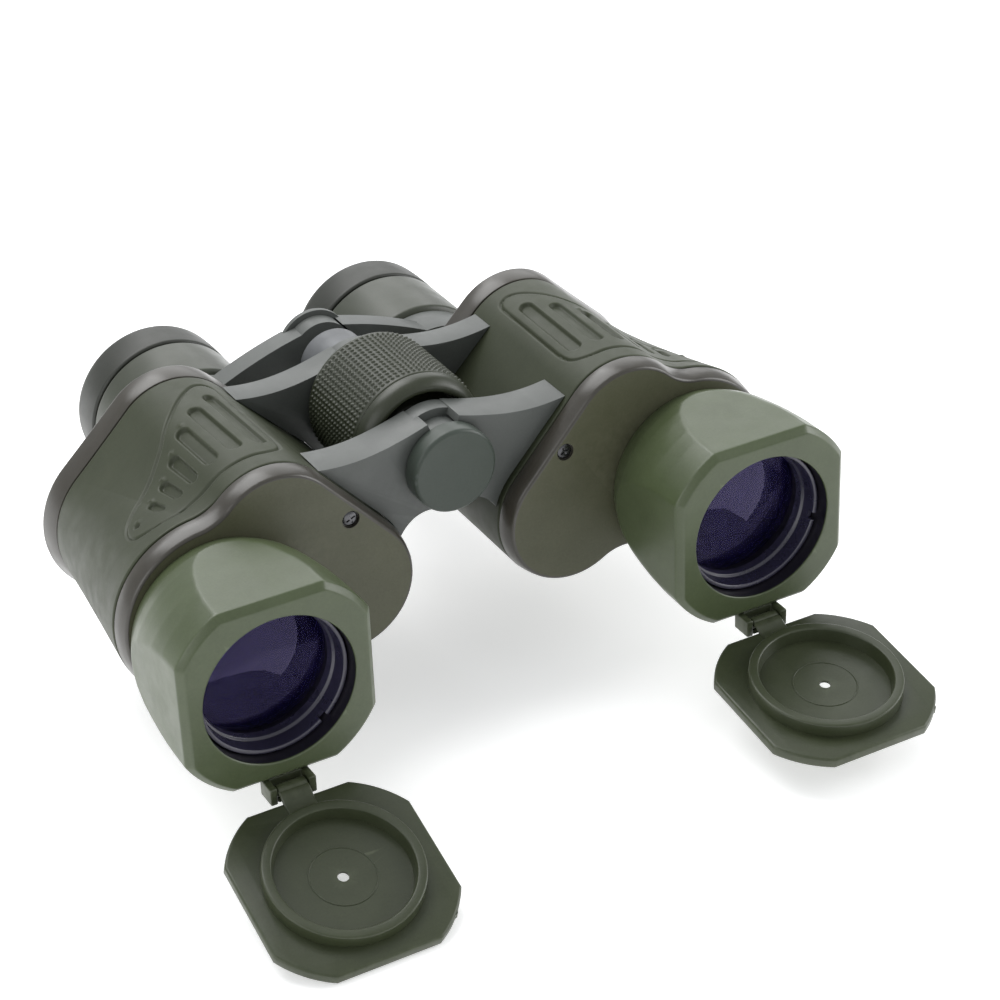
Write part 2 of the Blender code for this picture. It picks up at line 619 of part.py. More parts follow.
def focus_spindle(body):
    """Screw inside the axle that carries the ocular bridge, with its end nut."""
    rear = BRIDGE_Y[1] + 0.2
    solid("focus_spindle", disc(SPINDLE_R, 64.0, rear, 0, HINGE_Z, SMALL_TURN), "steel", body)
    end_cap = turned([(0, rear + 0.4), (6.4, rear + 0.4), (6.4, rear + 1.9), (5.2, rear + 2.9),
                      (0, rear + 3.1)], 0, HINGE_Z, MEDIUM_TURN)
    solid("bridge_end_cap", end_cap, "black_metal", body)


def tripod_cap(body):
    """Round cap over the tripod socket, with the plug that holds it there."""
    cap = turned([(0, 38.0), (11.4, 38.0), (12.1, 38.5), (12.1, 43.7), (2.9, 43.7), (2.9, 49.6),
                  (0, 49.6)], 0, HINGE_Z, LARGE_TURN)
    solid("tripod_cap", cap, "arm_paint", body)


def build():
    """Make every body's empty, then every piece, and stand the model on its origin."""
    assembly = empty("assembly", 0, 0, 0, None)
    left_barrel = empty("left_barrel", 0, 0, 0, assembly)
    right_barrel = empty("right_barrel", 0, 0, HINGE_Z, assembly)
    barrels = {"left": left_barrel, "right": right_barrel}
    focus = empty("focus_wheel", 0, KNURL_FRONT, HINGE_Z, left_barrel)
    cap_body = empty("tripod_cap_body", 0, BODY_FRONT, HINGE_Z, left_barrel)
    for side, barrel in barrels.items():
        prism_housing(side, barrel)
        prisms(side, barrel)
        objective_group(side, barrel)
        cover_bracket(side, barrel)
        own_layer = 1 if side == "left" else 0
        hinge_arm(side, barrel, "front_hinge_arm", FRONT_ARM, own_layer)
        hinge_arm(side, barrel, "rear_hinge_arm", REAR_ARM, own_layer)
        pivot = empty(f"{side}_cover", SIGN[side] * OBJECTIVE_X, COVER_PIVOT_Y, COVER_PIVOT_Z, barrel)
        lens_cover(side, pivot)
        pivot.rotation_euler.x = math.radians(COVER_OPEN_DEG[side])
        bridge = empty(f"{side}_bridge", SIGN[side] * EYE_X, BRIDGE_Y[0], EYE_Z, barrel)
        ocular_bridge(side, bridge)
        if side == "left":
            eyepiece(side, bridge, bridge)
            focus_spindle(bridge)
        else:
            carriage = empty("right_ocular", -EYE_X, BARREL_FRONT, EYE_Z, bridge)
            ring = empty("diopter_ring", -EYE_X, BARREL_FRONT, EYE_Z, carriage)
            eyepiece(side, carriage, ring)
    hinge_axle(left_barrel)
    focus_wheel(focus)
    tripod_cap(cap_body)
    stand_on_origin(assembly)


def stand_on_origin(assembly):
    """Put the bottom centre of the whole model's box at the world origin."""
    bpy.context.view_layer.update()
    graph = bpy.context.evaluated_depsgraph_get()
    corners = []
    for obj in bpy.data.objects:
        if obj.type == "MESH" and not obj.hide_render:
            shape = obj.evaluated_get(graph)
            corners += [shape.matrix_world @ vert.co for vert in shape.data.vertices]
    low = [min(corner[i] for corner in corners) for i in range(3)]
    high = [max(corner[i] for corner in corners) for i in range(3)]
    assembly.location = (-(low[0] + high[0]) / 2, -(low[1] + high[1]) / 2, -low[2])
    bpy.context.view_layer.update()


clear_scene()
build()
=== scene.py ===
"""Looks of the Porro-prism binoculars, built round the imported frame.

Shapes are written in design millimetres, as in the CAD: +X to the user's left, y = 0 in the plane
of the two hood faces, z = 0 on the objective axes. Mesh makers turn them into metres at ORIGIN.
"""

import math

import bmesh
import bpy
import numpy as np
from mathutils import Euler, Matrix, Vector


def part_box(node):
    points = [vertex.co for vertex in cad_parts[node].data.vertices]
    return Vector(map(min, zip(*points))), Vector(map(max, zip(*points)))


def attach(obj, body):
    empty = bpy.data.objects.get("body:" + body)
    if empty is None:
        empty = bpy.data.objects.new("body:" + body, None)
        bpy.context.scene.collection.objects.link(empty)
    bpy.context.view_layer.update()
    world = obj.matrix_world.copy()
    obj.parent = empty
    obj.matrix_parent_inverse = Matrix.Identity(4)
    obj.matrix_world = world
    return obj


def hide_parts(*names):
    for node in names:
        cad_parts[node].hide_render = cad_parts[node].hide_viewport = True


MM = 0.001
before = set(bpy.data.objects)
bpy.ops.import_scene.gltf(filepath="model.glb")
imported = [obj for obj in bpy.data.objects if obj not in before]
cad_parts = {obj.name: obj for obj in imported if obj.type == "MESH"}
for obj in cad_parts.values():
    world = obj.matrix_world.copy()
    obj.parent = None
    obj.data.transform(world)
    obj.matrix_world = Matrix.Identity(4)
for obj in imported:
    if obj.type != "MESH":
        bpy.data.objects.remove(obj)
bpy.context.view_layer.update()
hood_low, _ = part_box("left_objective_hood")
axle_low, axle_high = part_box("hinge_axle")
HINGE_Z = 21.0
ORIGIN = np.array([0.0, hood_low[1], (axle_low[2] + axle_high[2]) / 2 - HINGE_Z * MM])

# ---- dimensions shared with the CAD (mm) ------------------------------------------------------
SIDES = {"left": 1, "right": -1}
OBJECTIVE_X = 70.9
BORE_R = 20.8
HOOD_FLAT = 26.3
EYE_X, EYE_Z = 35.9, -3.4
BODY_REAR = 107.0
ARMOUR_FRONT, ARMOUR_REAR = 42.3, 99.6
GAP = 0.3
FACE_SECTION = ((34.0, -3.0, 18.4), (52.4, 18.4, 17.6), (70.7, 2.0, 24.9))
FRONT_SECTION = ((34.0, -3.0, 20.0), (52.2, 18.6, 19.0), (70.8, 2.2, 26.6))
REAR_SECTION = ((34.5, -3.2, 20.2), (53.3, 17.6, 18.6), (66.6, -2.5, 23.6))
PLATE_SECTION = ((34.5, -3.2, 20.2), (53.5, 17.5, 19.2), (66.8, -3.0, 24.8))
FRONT_FILLETS = (14.0, 16.0)
REAR_FILLETS = (40.0, 900.0)
AXLE_R = 4.5
WHEEL_FRONT, KNURL_FRONT, WHEEL_REAR, WHEEL_R = 55.6, 60.7, 88.3, 19.2
BRIDGE_FRONT, BRIDGE_REAR, COLLAR_REAR = 117.3, 124.0, 128.0
BRIDGE_SPLIT = 122.6
KNUCKLE_R, DISC_R = 9.2, 10.6
RIM_Y = {"left": 167.7, "right": 164.0}
EYECUP_LENGTH = 14.0
BARREL_R = 23.1
BARREL_FRONT = 128.4
PIVOT_Y, PIVOT_Z = -1.0, -29.3
COVER_OPEN_DEG = {"left": 98.0, "right": 109.0}


# ---- materials --------------------------------------------------------------------------------
GRAIN_SCALE = 2600.0


def srgb(red, green, blue):
    """Linear colour from 0-255 screen values."""
    return tuple((c / 12.92 if c <= 0.04045 else ((c + 0.055) / 1.055) ** 2.4)
                 for c in (red / 255, green / 255, blue / 255)) + (1.0,)


class Look:
    """A node material with short names for the nodes it is made of."""

    def __init__(self, name):
        self.material = bpy.data.materials.new(name)
        self.material.use_nodes = True
        self.tree = self.material.node_tree
        self.shader = self.tree.nodes["Principled BSDF"]
        self.place = self.node("ShaderNodeTexCoord").outputs["Object"]

    def node(self, kind, **values):
        made = self.tree.nodes.new(kind)
        for key, value in values.items():
            setattr(made, key, value)
        return made

    def join(self, source, target):
        self.tree.links.new(source, target)

    def noise(self, scale, detail=2.0, roughness=0.5, stretch=None):
        made = self.node("ShaderNodeTexNoise")
        made.inputs["Scale"].default_value = scale
        made.inputs["Detail"].default_value = detail
        made.inputs["Roughness"].default_value = roughness
        place = self.place
        if stretch is not None:
            mapping = self.node("ShaderNodeMapping")
            mapping.inputs["Scale"].default_value = stretch
            self.join(place, mapping.inputs["Vector"])
            place = mapping.outputs["Vector"]
        self.join(place, made.inputs["Vector"])
        return made.outputs["Fac"]

    def ramp(self, source, stops):
        made = self.node("ShaderNodeValToRGB")
        elements = made.color_ramp.elements
        while len(elements) < len(stops):
            elements.new(0.5)
        for element, (position, colour) in zip(elements, stops):
            element.position = position
            element.color = colour
        self.join(source, made.inputs["Fac"])
        return made.outputs["Color"]

    def span(self, source, low, high, start=0.3, end=0.7):
        made = self.node("ShaderNodeMapRange")
        made.inputs["From Min"].default_value = start
        made.inputs["From Max"].default_value = end
        made.inputs["To Min"].default_value = low
        made.inputs["To Max"].default_value = high
        self.join(source, made.inputs["Value"])
        return made.outputs["Result"]

    def blend(self, factor, first, second):
        made = self.node("ShaderNodeMix", data_type="RGBA")
        self.join(factor, made.inputs["Factor"])
        self.join(first, made.inputs["A"])
        self.join(second, made.inputs["B"])
        return made.outputs["Result"]

    def edges(self):
        """0 on open surfaces, 1 on convex edges, where the paler edge colour goes: partly wear, partly
        painted highlight.
        """
        point = self.node("ShaderNodeNewGeometry").outputs["Pointiness"]
        return self.span(point, 0.0, 1.0, 0.515, 0.62)

    def bump(self, source, strength, distance, below=None):
        made = self.node("ShaderNodeBump")
        made.inputs["Strength"].default_value = strength
        made.inputs["Distance"].default_value = distance
        self.join(source, made.inputs["Height"])
        if below is not None:
            self.join(below, made.inputs["Normal"])
        return made.outputs["Normal"]


def moulded(name, dark, light, wear_and_highlight_colour, rough, grain, gloss):
    """Satin moulded plastic or rubber: mottled colour, fine grain and paler edges that are partly rubbed
    wear and partly painted edge highlight.
    """
    look = Look(name)
    look.shader.inputs["Specular IOR Level"].default_value = gloss
    cloud = look.noise(70.0, 4.0, 0.6)
    speck = look.noise(GRAIN_SCALE * 0.6, 2.0, 0.6)
    base = look.ramp(cloud, ((0.3, dark), (0.7, light)))
    fine = look.ramp(speck, ((0.35, dark), (0.65, light)))
    colour = look.blend(look.span(look.noise(350.0, 2.0), 0.15, 0.6), base, fine)
    # Paler convex edges: partly rubbed wear, partly painted edge highlight.
    edge_wear_and_highlight = look.ramp(look.noise(500.0, 3.0), ((0.3, light), (0.7, wear_and_highlight_colour)))
    colour = look.blend(look.edges(), colour, edge_wear_and_highlight)
    look.join(colour, look.shader.inputs["Base Color"])
    low, high = rough
    look.join(look.span(look.noise(180.0, 3.0), low, high), look.shader.inputs["Roughness"])
    skin = look.bump(look.noise(GRAIN_SCALE, 2.0, 0.55), grain, 0.00012)
    swell = look.bump(look.noise(90.0, 2.0), 0.06, 0.0006, skin)
    look.join(swell, look.shader.inputs["Normal"])
    return look.material


def machined(name, dark, light, rough, metallic):
    """Turned metal: fine lines round the Y axis and faint stains."""
    look = Look(name)
    lines = look.noise(1.0, 3.0, 0.6, (40.0, 1600.0, 40.0))
    colour = look.ramp(look.noise(120.0, 4.0), ((0.3, dark), (0.7, light)))
    look.join(colour, look.shader.inputs["Base Color"])
    look.shader.inputs["Metallic"].default_value = metallic
    low, high = rough
    look.join(look.span(lines, low, high), look.shader.inputs["Roughness"])
    look.join(look.bump(lines, 0.25, 0.00006), look.shader.inputs["Normal"])
    return look.material


def coated_glass(name, first, second):
    """Polished glass: a blue-purple reflection over a dark see-through body."""
    look = Look(name)
    look.join(look.ramp(look.noise(40.0, 2.0), ((0.3, first), (0.7, second))),
              look.shader.inputs["Base Color"])
    look.shader.inputs["Alpha"].default_value = 0.42
    look.shader.inputs["IOR"].default_value = 1.7
    look.shader.inputs["Specular IOR Level"].default_value = 0.7
    look.shader.inputs["Specular Tint"].default_value = (0.40, 0.35, 0.68, 1.0)
    smear = look.noise(60.0, 5.0, 0.6)
    look.join(look.span(smear, 0.02, 0.06, 0.45, 0.75), look.shader.inputs["Roughness"])
    return look.material


def dark_glass(name, first, second):
    """Prism glass painted nearly black as the shade inside the housing, with a polished surface."""
    look = Look(name)
    look.join(look.ramp(look.noise(30.0, 2.0), ((0.3, first), (0.7, second))),
              look.shader.inputs["Base Color"])
    look.join(look.span(look.noise(80.0, 3.0), 0.06, 0.14), look.shader.inputs["Roughness"])
    return look.material


LOOKS = {
    "armour": moulded("armour_rubber", srgb(45, 50, 34), srgb(53, 58, 41), srgb(70, 75, 58),
                      (0.44, 0.54), 0.18, 0.32),
    "hood": moulded("hood_plastic", srgb(62, 71, 47), srgb(71, 81, 55), srgb(90, 100, 76),
                    (0.30, 0.40), 0.14, 0.5),
    "face": moulded("plate_plastic", srgb(70, 71, 53), srgb(79, 80, 62), srgb(98, 98, 80),
                    (0.36, 0.46), 0.16, 0.35),
    "rim": moulded("rim_plastic", srgb(50, 47, 41), srgb(58, 55, 48), srgb(66, 63, 57),
                   (0.28, 0.36), 0.1, 0.6),
    "arm": moulded("arm_enamel", srgb(75, 78, 76), srgb(82, 85, 82), srgb(88, 91, 89),
                   (0.36, 0.44), 0.08, 0.45),
    "cap": moulded("cap_enamel", srgb(58, 65, 59), srgb(64, 71, 65), srgb(90, 95, 92),
                   (0.34, 0.44), 0.1, 0.35),
    "wheel": moulded("wheel_rubber", srgb(40, 44, 31), srgb(48, 52, 38), srgb(74, 78, 64),
                     (0.32, 0.42), 0.08, 0.45),
    "eyecup": moulded("eyecup_rubber", srgb(36, 38, 32), srgb(43, 45, 39), srgb(64, 66, 60),
                      (0.38, 0.48), 0.12, 0.45),
    "barrel": moulded("barrel_plastic", srgb(47, 51, 40), srgb(55, 59, 47), srgb(76, 80, 68),
                      (0.32, 0.42), 0.08, 0.5),
    "cover": moulded("cover_plastic", srgb(48, 54, 35), srgb(57, 63, 43), srgb(80, 86, 66),
                     (0.32, 0.42), 0.1, 0.45),
    "black": moulded("black_anodised", srgb(36, 34, 50), srgb(48, 46, 66), srgb(76, 74, 98),
                     (0.24, 0.34), 0.04, 0.8),
    "baffle": moulded("baffle_black", srgb(20, 18, 25), srgb(24, 22, 30), srgb(44, 42, 54),
                      (0.30, 0.42), 0.03, 0.6),
    "alloy": machined("turned_alloy", srgb(86, 88, 90), srgb(106, 108, 110), (0.36, 0.48), 0.4),
    "steel": machined("plated_steel", srgb(70, 70, 72), srgb(110, 110, 112), (0.18, 0.32), 1.0),
    "brass": machined("turned_brass", srgb(150, 120, 62), srgb(178, 146, 84), (0.25, 0.4), 1.0),
    # prisms take nearly black glass: painted shade of the dark housing
    "prism": dark_glass("dark_prism_glass", srgb(16, 15, 26), srgb(24, 22, 38)),
    "glass": coated_glass("coated_glass", srgb(22, 18, 56), srgb(32, 27, 74)),
}


# ---- mesh making ------------------------------------------------------------------------------
def new_mesh(name, points, faces):
    """Mesh in metres from design-mm points and faces."""
    mesh = bpy.data.meshes.new(name)
    placed = np.asarray(points, float) * MM + ORIGIN
    mesh.from_pydata(placed.tolist(), [], [list(map(int, face)) for face in faces])
    return mesh


def linked(name, mesh):
    """Object that shows a mesh, put in the scene."""
    made = bpy.data.objects.new(name, mesh)
    bpy.context.scene.collection.objects.link(made)
    return made


def make(name, points, faces, looks, body, replaced, sharp=38.0, face_looks=None):
    """Piece from design-mm points and faces, riding on a body and standing for CAD nodes."""
    mesh = new_mesh(name, points, faces)
    for look in looks:
        mesh.materials.append(LOOKS[look])
    if face_looks is not None:
        mesh.polygons.foreach_set("material_index", np.asarray(face_looks, dtype=np.int32))
    tidy(mesh, sharp)
    declare(linked(name, mesh), body, replaced)


def tidy(mesh, sharp):
    """Merge poles, drop empty faces, face outwards and shade smooth up to an angle."""
    bm = bmesh.new()
    bm.from_mesh(mesh)
    bmesh.ops.remove_doubles(bm, verts=bm.verts, dist=2e-6)
    bmesh.ops.dissolve_degenerate(bm, edges=bm.edges, dist=1e-6)
    bmesh.ops.recalc_face_normals(bm, faces=bm.faces)
    bm.to_mesh(mesh)
    bm.free()
    mesh.shade_smooth()
    mesh.set_sharp_from_angle(angle=math.radians(sharp))


def declare(piece, body, replaced):
    """Tell the frame what a piece rides on and the nodes it stands for."""
    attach(piece, body)
    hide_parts(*replaced)


def grid_faces(across, along, wrap_along=True):
    """Quads of a grid that closes round; its point (i, j) is number i * along + j."""
    i, j = np.meshgrid(np.arange(across), np.arange(along if wrap_along else along - 1), indexing="ij")
    i, j = i.ravel(), j.ravel()
    i2, j2 = (i + 1) % across, (j + 1) % along
    return np.stack([i * along + j, i2 * along + j, i2 * along + j2, i * along + j2], 1)


def softened(points, closed, steps=4):
    """Profile points (a, b, radius) with each corner replaced by a short curve."""
    count = len(points)
    result = []
    for index, point in enumerate(points):
        here = np.array(point[:2], float)
        radius = point[2] if len(point) > 2 else 0.0
        if radius == 0 or (not closed and index in (0, count - 1)):
            result.append(here)
            continue
        before = np.array(points[index - 1][:2], float) - here
        after = np.array(points[(index + 1) % count][:2], float) - here
        reach_in = min(radius, 0.48 * np.linalg.norm(before))
        reach_out = min(radius, 0.48 * np.linalg.norm(after))
        start = here + before / np.linalg.norm(before) * reach_in
        end = here + after / np.linalg.norm(after) * reach_out
        for step in range(steps + 1):
            t = step / steps
            result.append(start * (1 - t) ** 2 + here * 2 * t * (1 - t) + end * t * t)
    return np.array(result)


def spin(line, cx, cz, steps):
    """Points of a (radius, y) profile turned about an axis along Y."""
    angle = np.linspace(0, 2 * math.pi, steps, endpoint=False)[:, None]
    depth = np.broadcast_to(line[:, 1], (steps, len(line)))
    return np.stack([cx + line[:, 0] * np.cos(angle), depth, cz + line[:, 0] * np.sin(angle)],
                    -1).reshape(-1, 3)


def turned(name, profile, cx, cz, look, body, replaced, steps=144, sharp=38.0):
    """Piece turned about an axis along Y. profile holds (radius, y, corner radius)."""
    closed = not (profile[0][0] == 0 and profile[-1][0] == 0)
    line = softened(profile, closed)
    make(name, spin(line, cx, cz, steps), grid_faces(steps, len(line), closed), [look], body,
         replaced, sharp)


def arc(cx, cz, radius, start, end, steps):
    """Points along a circle between two angles in degrees."""
    angle = np.radians(np.linspace(start, end, steps + 1))
    return np.stack([cx + radius * np.cos(angle), cz + radius * np.sin(angle)], 1)


def bezier(p0, p1, p2, p3, steps):
    """Points along a cubic curve."""
    t = np.linspace(0, 1, steps + 1)[:, None]
    corners = [np.array(p, float) for p in (p0, p1, p2, p3)]
    return ((1 - t) ** 3 * corners[0] + 3 * t * (1 - t) ** 2 * corners[1]
            + 3 * t * t * (1 - t) * corners[2] + t ** 3 * corners[3])


def mirrored(outline, side):
    """Outline of points (x, z) on the side asked for."""
    outline = np.array(outline, float)
    return outline * np.array([SIDES[side], 1.0])


def inward(outline):
    """Unit vectors that point into a closed outline, one per corner."""
    outline = np.asarray(outline, float)
    before = outline - np.roll(outline, 1, 0)
    after = np.roll(outline, -1, 0) - outline
    before /= np.linalg.norm(before, axis=1)[:, None]
    after /= np.linalg.norm(after, axis=1)[:, None]
    tangent = before + after
    tangent /= np.linalg.norm(tangent, axis=1)[:, None]
    area = np.sum(outline[:, 0] * np.roll(outline[:, 1], -1)
                  - np.roll(outline[:, 0], -1) * outline[:, 1])
    turn = 1.0 if area > 0 else -1.0
    cosine = np.clip(np.sum(tangent * before, 1), 0.5, 1.0)
    return np.stack([-tangent[:, 1], tangent[:, 0]], 1) * turn / cosine[:, None]


def stack_faces(count, rings):
    """Faces of a closed lofted stack of rings with flat ends."""
    faces = []
    for ring in range(rings - 1):
        low, high = ring * count, (ring + 1) * count
        for i in range(count):
            j = (i + 1) % count
            faces.append((low + i, low + j, high + j, high + i))
    faces.append(tuple(range(count)))
    faces.append(tuple(range((rings - 1) * count, rings * count)))
    return faces


def slab(outline, y0, y1, edge, steps=3):
    """Points and faces of an outline extruded along Y with rounded rims."""
    outline = np.asarray(outline, float)
    into = inward(outline)
    levels = []
    for step in range(steps + 1):
        angle = math.pi / 2 * step / steps
        levels.append((y0 + edge * (1 - math.sin(angle)), edge * (1 - math.cos(angle))))
    levels.reverse()
    for step in range(steps + 1):
        angle = math.pi / 2 * step / steps
        levels.append((y1 - edge * (1 - math.sin(angle)), edge * (1 - math.cos(angle))))
    ordered = sorted(set(levels[:steps + 1]), key=lambda item: item[0])
    ordered += sorted(set(levels[steps + 1:]), key=lambda item: item[0])
    points = []
    for y, inset in ordered:
        ring = outline + into * inset
        points += [(x, y, z) for x, z in ring]
    return points, stack_faces(len(outline), len(ordered))


def raw(points, faces):
    """Plain object used as a stage of a carved piece."""
    mesh = new_mesh("stage", points, faces)
    tidy(mesh, 38.0)
    return linked("stage", mesh)


def carved(name, base, steps, looks, body, replaced, bevel=0.0, sharp=38.0, look_from=None):
    """Run Booleans on a base piece, then bevel its sharp edges; tools are removed again.

    Faces whose centre lies behind y = look_from take the second look.
    """
    for operation, tool in steps:
        modifier = base.modifiers.new("step", "BOOLEAN")
        modifier.operation = operation
        modifier.solver = "EXACT"
        modifier.object = tool
    if bevel > 0:
        modifier = base.modifiers.new("bevel", "BEVEL")
        modifier.width = bevel * MM
        modifier.segments = 3
        modifier.limit_method = "ANGLE"
        modifier.angle_limit = math.radians(38)
        modifier.use_clamp_overlap = True
    bpy.context.view_layer.update()
    graph = bpy.context.evaluated_depsgraph_get()
    mesh = bpy.data.meshes.new_from_object(base.evaluated_get(graph))
    for tool in [tool for _, tool in steps] + [base]:
        bpy.data.objects.remove(tool)
    mesh.name = name
    mesh.materials.clear()
    for look in looks:
        mesh.materials.append(LOOKS[look])
    tidy(mesh, sharp)
    if look_from is not None:
        centres = np.empty(len(mesh.polygons) * 3)
        mesh.polygons.foreach_get("center", centres)
        depth = (centres.reshape(-1, 3)[:, 1] - ORIGIN[1]) / MM
        mesh.polygons.foreach_set("material_index", (depth > look_from).astype(np.int32))
    declare(linked(name, mesh), body, replaced)


def plug(cx, cz, radius, y0, y1, steps=96):
    """Cylinder stage along Y."""
    ring = arc(cx, cz, radius, 0, 360, steps)[:-1]
    return raw([(x, y, z) for y in (y0, y1) for x, z in ring], stack_faces(steps, 2))


def brick(x0, x1, y0, y1, z0, z1):
    """Box stage."""
    corners = [(x0, z0), (x1, z0), (x1, z1), (x0, z1)]
    return raw([(x, y, z) for y in (y0, y1) for x, z in corners], stack_faces(4, 2))


def rotated_brick(cx, cz, angle, near, far, half, y0, y1):
    """Box stage that reaches from radius near to far at an angle about an axis along Y."""
    a = math.radians(angle)
    out, across = np.array([math.cos(a), math.sin(a)]), np.array([-math.sin(a), math.cos(a)])
    corners = [out * reach + across * aside
               for reach, aside in ((near, -half), (far, -half), (far, half), (near, half))]
    return raw([(cx + x, y, cz + z) for y in (y0, y1) for x, z in corners], stack_faces(4, 2))


# ---- housing outlines -------------------------------------------------------------------------
def fillet_centre(c1, c2, fillet):
    """Centre of the circle below two circles that touches both from outside."""
    r1, r2 = c1[2] + fillet, c2[2] + fillet
    dx, dz = c2[0] - c1[0], c2[1] - c1[1]
    distance = math.hypot(dx, dz)
    along = (r1 * r1 - r2 * r2 + distance * distance) / (2 * distance)
    across = -math.sqrt(r1 * r1 - along * along)
    return (c1[0] + (along * dx - across * dz) / distance,
            c1[1] + (along * dz + across * dx) / distance)


def angle_to(a, b):
    """Direction from a to b in degrees."""
    return math.degrees(math.atan2(b[1] - a[1], b[0] - a[0]))


def housing_outline(section, fillets, fine=False):
    """Points and outward normals round the housing on the +X side."""
    lobe, bump, objective = section
    low = fillet_centre(lobe, objective, fillets[0])
    high = fillet_centre(objective, bump, fillets[1])
    dx, dz = lobe[0] - bump[0], lobe[1] - bump[1]
    slope = math.acos((bump[2] - lobe[2]) / math.hypot(dx, dz))
    flat = math.degrees(math.atan2(dz, dx) - slope)
    counts = (0, 48, 112, 36, 14) if fine else (72, 24, 44, 36, 14)
    dense_end = np.concatenate([np.linspace(0, 0.80, 44, endpoint=False), np.linspace(0.80, 1, 56)])
    pieces = (
        (objective, angle_to(objective, low), angle_to(objective, high), objective[2], 1),
        (high, angle_to(high, objective), angle_to(high, bump), fillets[1], -1),
        (bump, angle_to(bump, high), flat, bump[2], 1),
        (lobe, flat, angle_to(lobe, low), lobe[2], 1),
        (low, angle_to(low, lobe), angle_to(low, objective), fillets[0], -1),
    )
    points, normals = [], []
    for index, (centre, start, end, radius, turn) in enumerate(pieces):
        while turn > 0 and end < start:
            end += 360
        while turn < 0 and end > start:
            end -= 360
        share = dense_end if fine and index == 0 else np.linspace(0, 1, counts[index] + 1)
        angle = np.radians(start + (end - start) * share)
        direction = np.stack([np.cos(angle), np.sin(angle)], 1)
        stretch = np.array(centre[:2]) + radius * direction
        points.append(stretch[:-1])
        normals.append(turn * direction[:-1])
        if index == 2:
            after = np.array(lobe[:2]) + lobe[2] * direction[-1]
            share = np.linspace(0, 1, 16)[:-1, None]
            points.append(stretch[-1] + (after - stretch[-1]) * share)
            normals.append(np.repeat(turn * direction[-1:], 15, 0))
    return np.concatenate(points), np.concatenate(normals)


def barrel_section(y, offset, fine=False):
    """Armour outline at depth y, grown by offset, on the +X side."""
    t = (y - ARMOUR_FRONT) / (ARMOUR_REAR - ARMOUR_FRONT)
    front, front_out = housing_outline(FRONT_SECTION, FRONT_FILLETS, fine)
    rear, rear_out = housing_outline(REAR_SECTION, REAR_FILLETS, fine)
    return (front + front_out * offset) * (1 - t) + (rear + rear_out * offset) * t


def stacked(side, levels):
    """Points and faces of a closed stack of (outline, y) levels."""
    points = []
    for outline, y in levels:
        points += [(x, y, z) for x, z in mirrored(outline, side)]
    return points, stack_faces(len(levels[0][0]), len(levels))


# ---- rubber armour ----------------------------------------------------------------------------
# along is the distance round the armour from the low fillet under the objective, depth is y
PANEL = ((119.0, 91.0), (119.0, 80.0), (119.0, 63.0), (118.9, 56.4), (118.0, 52.4), (115.8, 50.2),
         (112.3, 48.8), (108.5, 48.7), (104.0, 48.7), (99.8, 48.8), (95.5, 48.8), (89.5, 48.8),
         (84.0, 48.8), (77.5, 48.4), (72.4, 48.8), (69.2, 50.3), (68.0, 52.9), (68.5, 56.2),
         (70.2, 59.2), (73.2, 62.2), (78.8, 66.6), (84.5, 69.8), (89.0, 72.9), (92.8, 75.6),
         (97.3, 79.6), (101.5, 83.3), (106.5, 88.0), (110.8, 91.6), (113.8, 93.4), (116.8, 93.6))
SLOT_PITCH = 7.1
SLOT_FIRST = 71.5
SLOT_FRONT = 54.7
SLOT_REAR = (56.0, 61.4, 65.0, 69.4, 75.2, 81.2, 86.6)
SLOT_HALF = (0.9, 1.5, 1.8, 2.0, 2.1, 2.1, 2.1)


def closed_curve(corners, steps):
    """Smooth closed curve through corners."""
    corners = np.array(corners, float)
    before, after, later = np.roll(corners, 1, 0), np.roll(corners, -1, 0), np.roll(corners, -2, 0)
    result = []
    for t in np.linspace(0, 1, steps, endpoint=False):
        result.append(0.5 * (2 * corners + (after - before) * t
                             + (2 * before - 5 * corners + 4 * after - later) * t * t
                             + (3 * corners - before - 3 * after + later) * t ** 3))
    return np.stack(result, 1).reshape(-1, 2)


def distance_to(spots, start, end):
    """Distance of many spots from one line segment."""
    run = end - start
    share = np.clip(((spots - start) @ run) / max(run @ run, 1e-9), 0, 1)
    return np.linalg.norm(spots - (start + share[..., None] * run), axis=-1)


def step_down(value, start, end):
    """1 below start, 0 above end, smooth between."""
    t = np.clip((end - value) / (end - start), 0, 1)
    return t * t * (3 - 2 * t)


def panel_relief(along, depth):
    """Height of the moulded panel above the armour, in mm."""
    spots = np.stack([along, depth], -1)
    line = closed_curve(PANEL, 8)
    nearest = np.full(along.shape, 1e9)
    for start, end in zip(line, np.roll(line, -1, 0)):
        nearest = np.minimum(nearest, distance_to(spots, start, end))
    height = -0.6 * np.exp(-(nearest / 0.38) ** 2)
    for index, (rear, half) in enumerate(zip(SLOT_REAR, SLOT_HALF)):
        middle = SLOT_FIRST + SLOT_PITCH * index
        near, far = SLOT_FRONT + half, max(rear - half, SLOT_FRONT + half + 0.01)
        away = distance_to(spots, np.array([middle, near]), np.array([middle, far])) - half
        height -= (0.6 + 0.3 * min(half, 2.0)) * step_down(away, -0.55, 0.2)
        if index < 5:
            bead = np.hypot(along - middle - 1.3, depth - rear - 1.2)
            height += 0.4 * np.exp(-(bead / 0.75) ** 2)
    return height


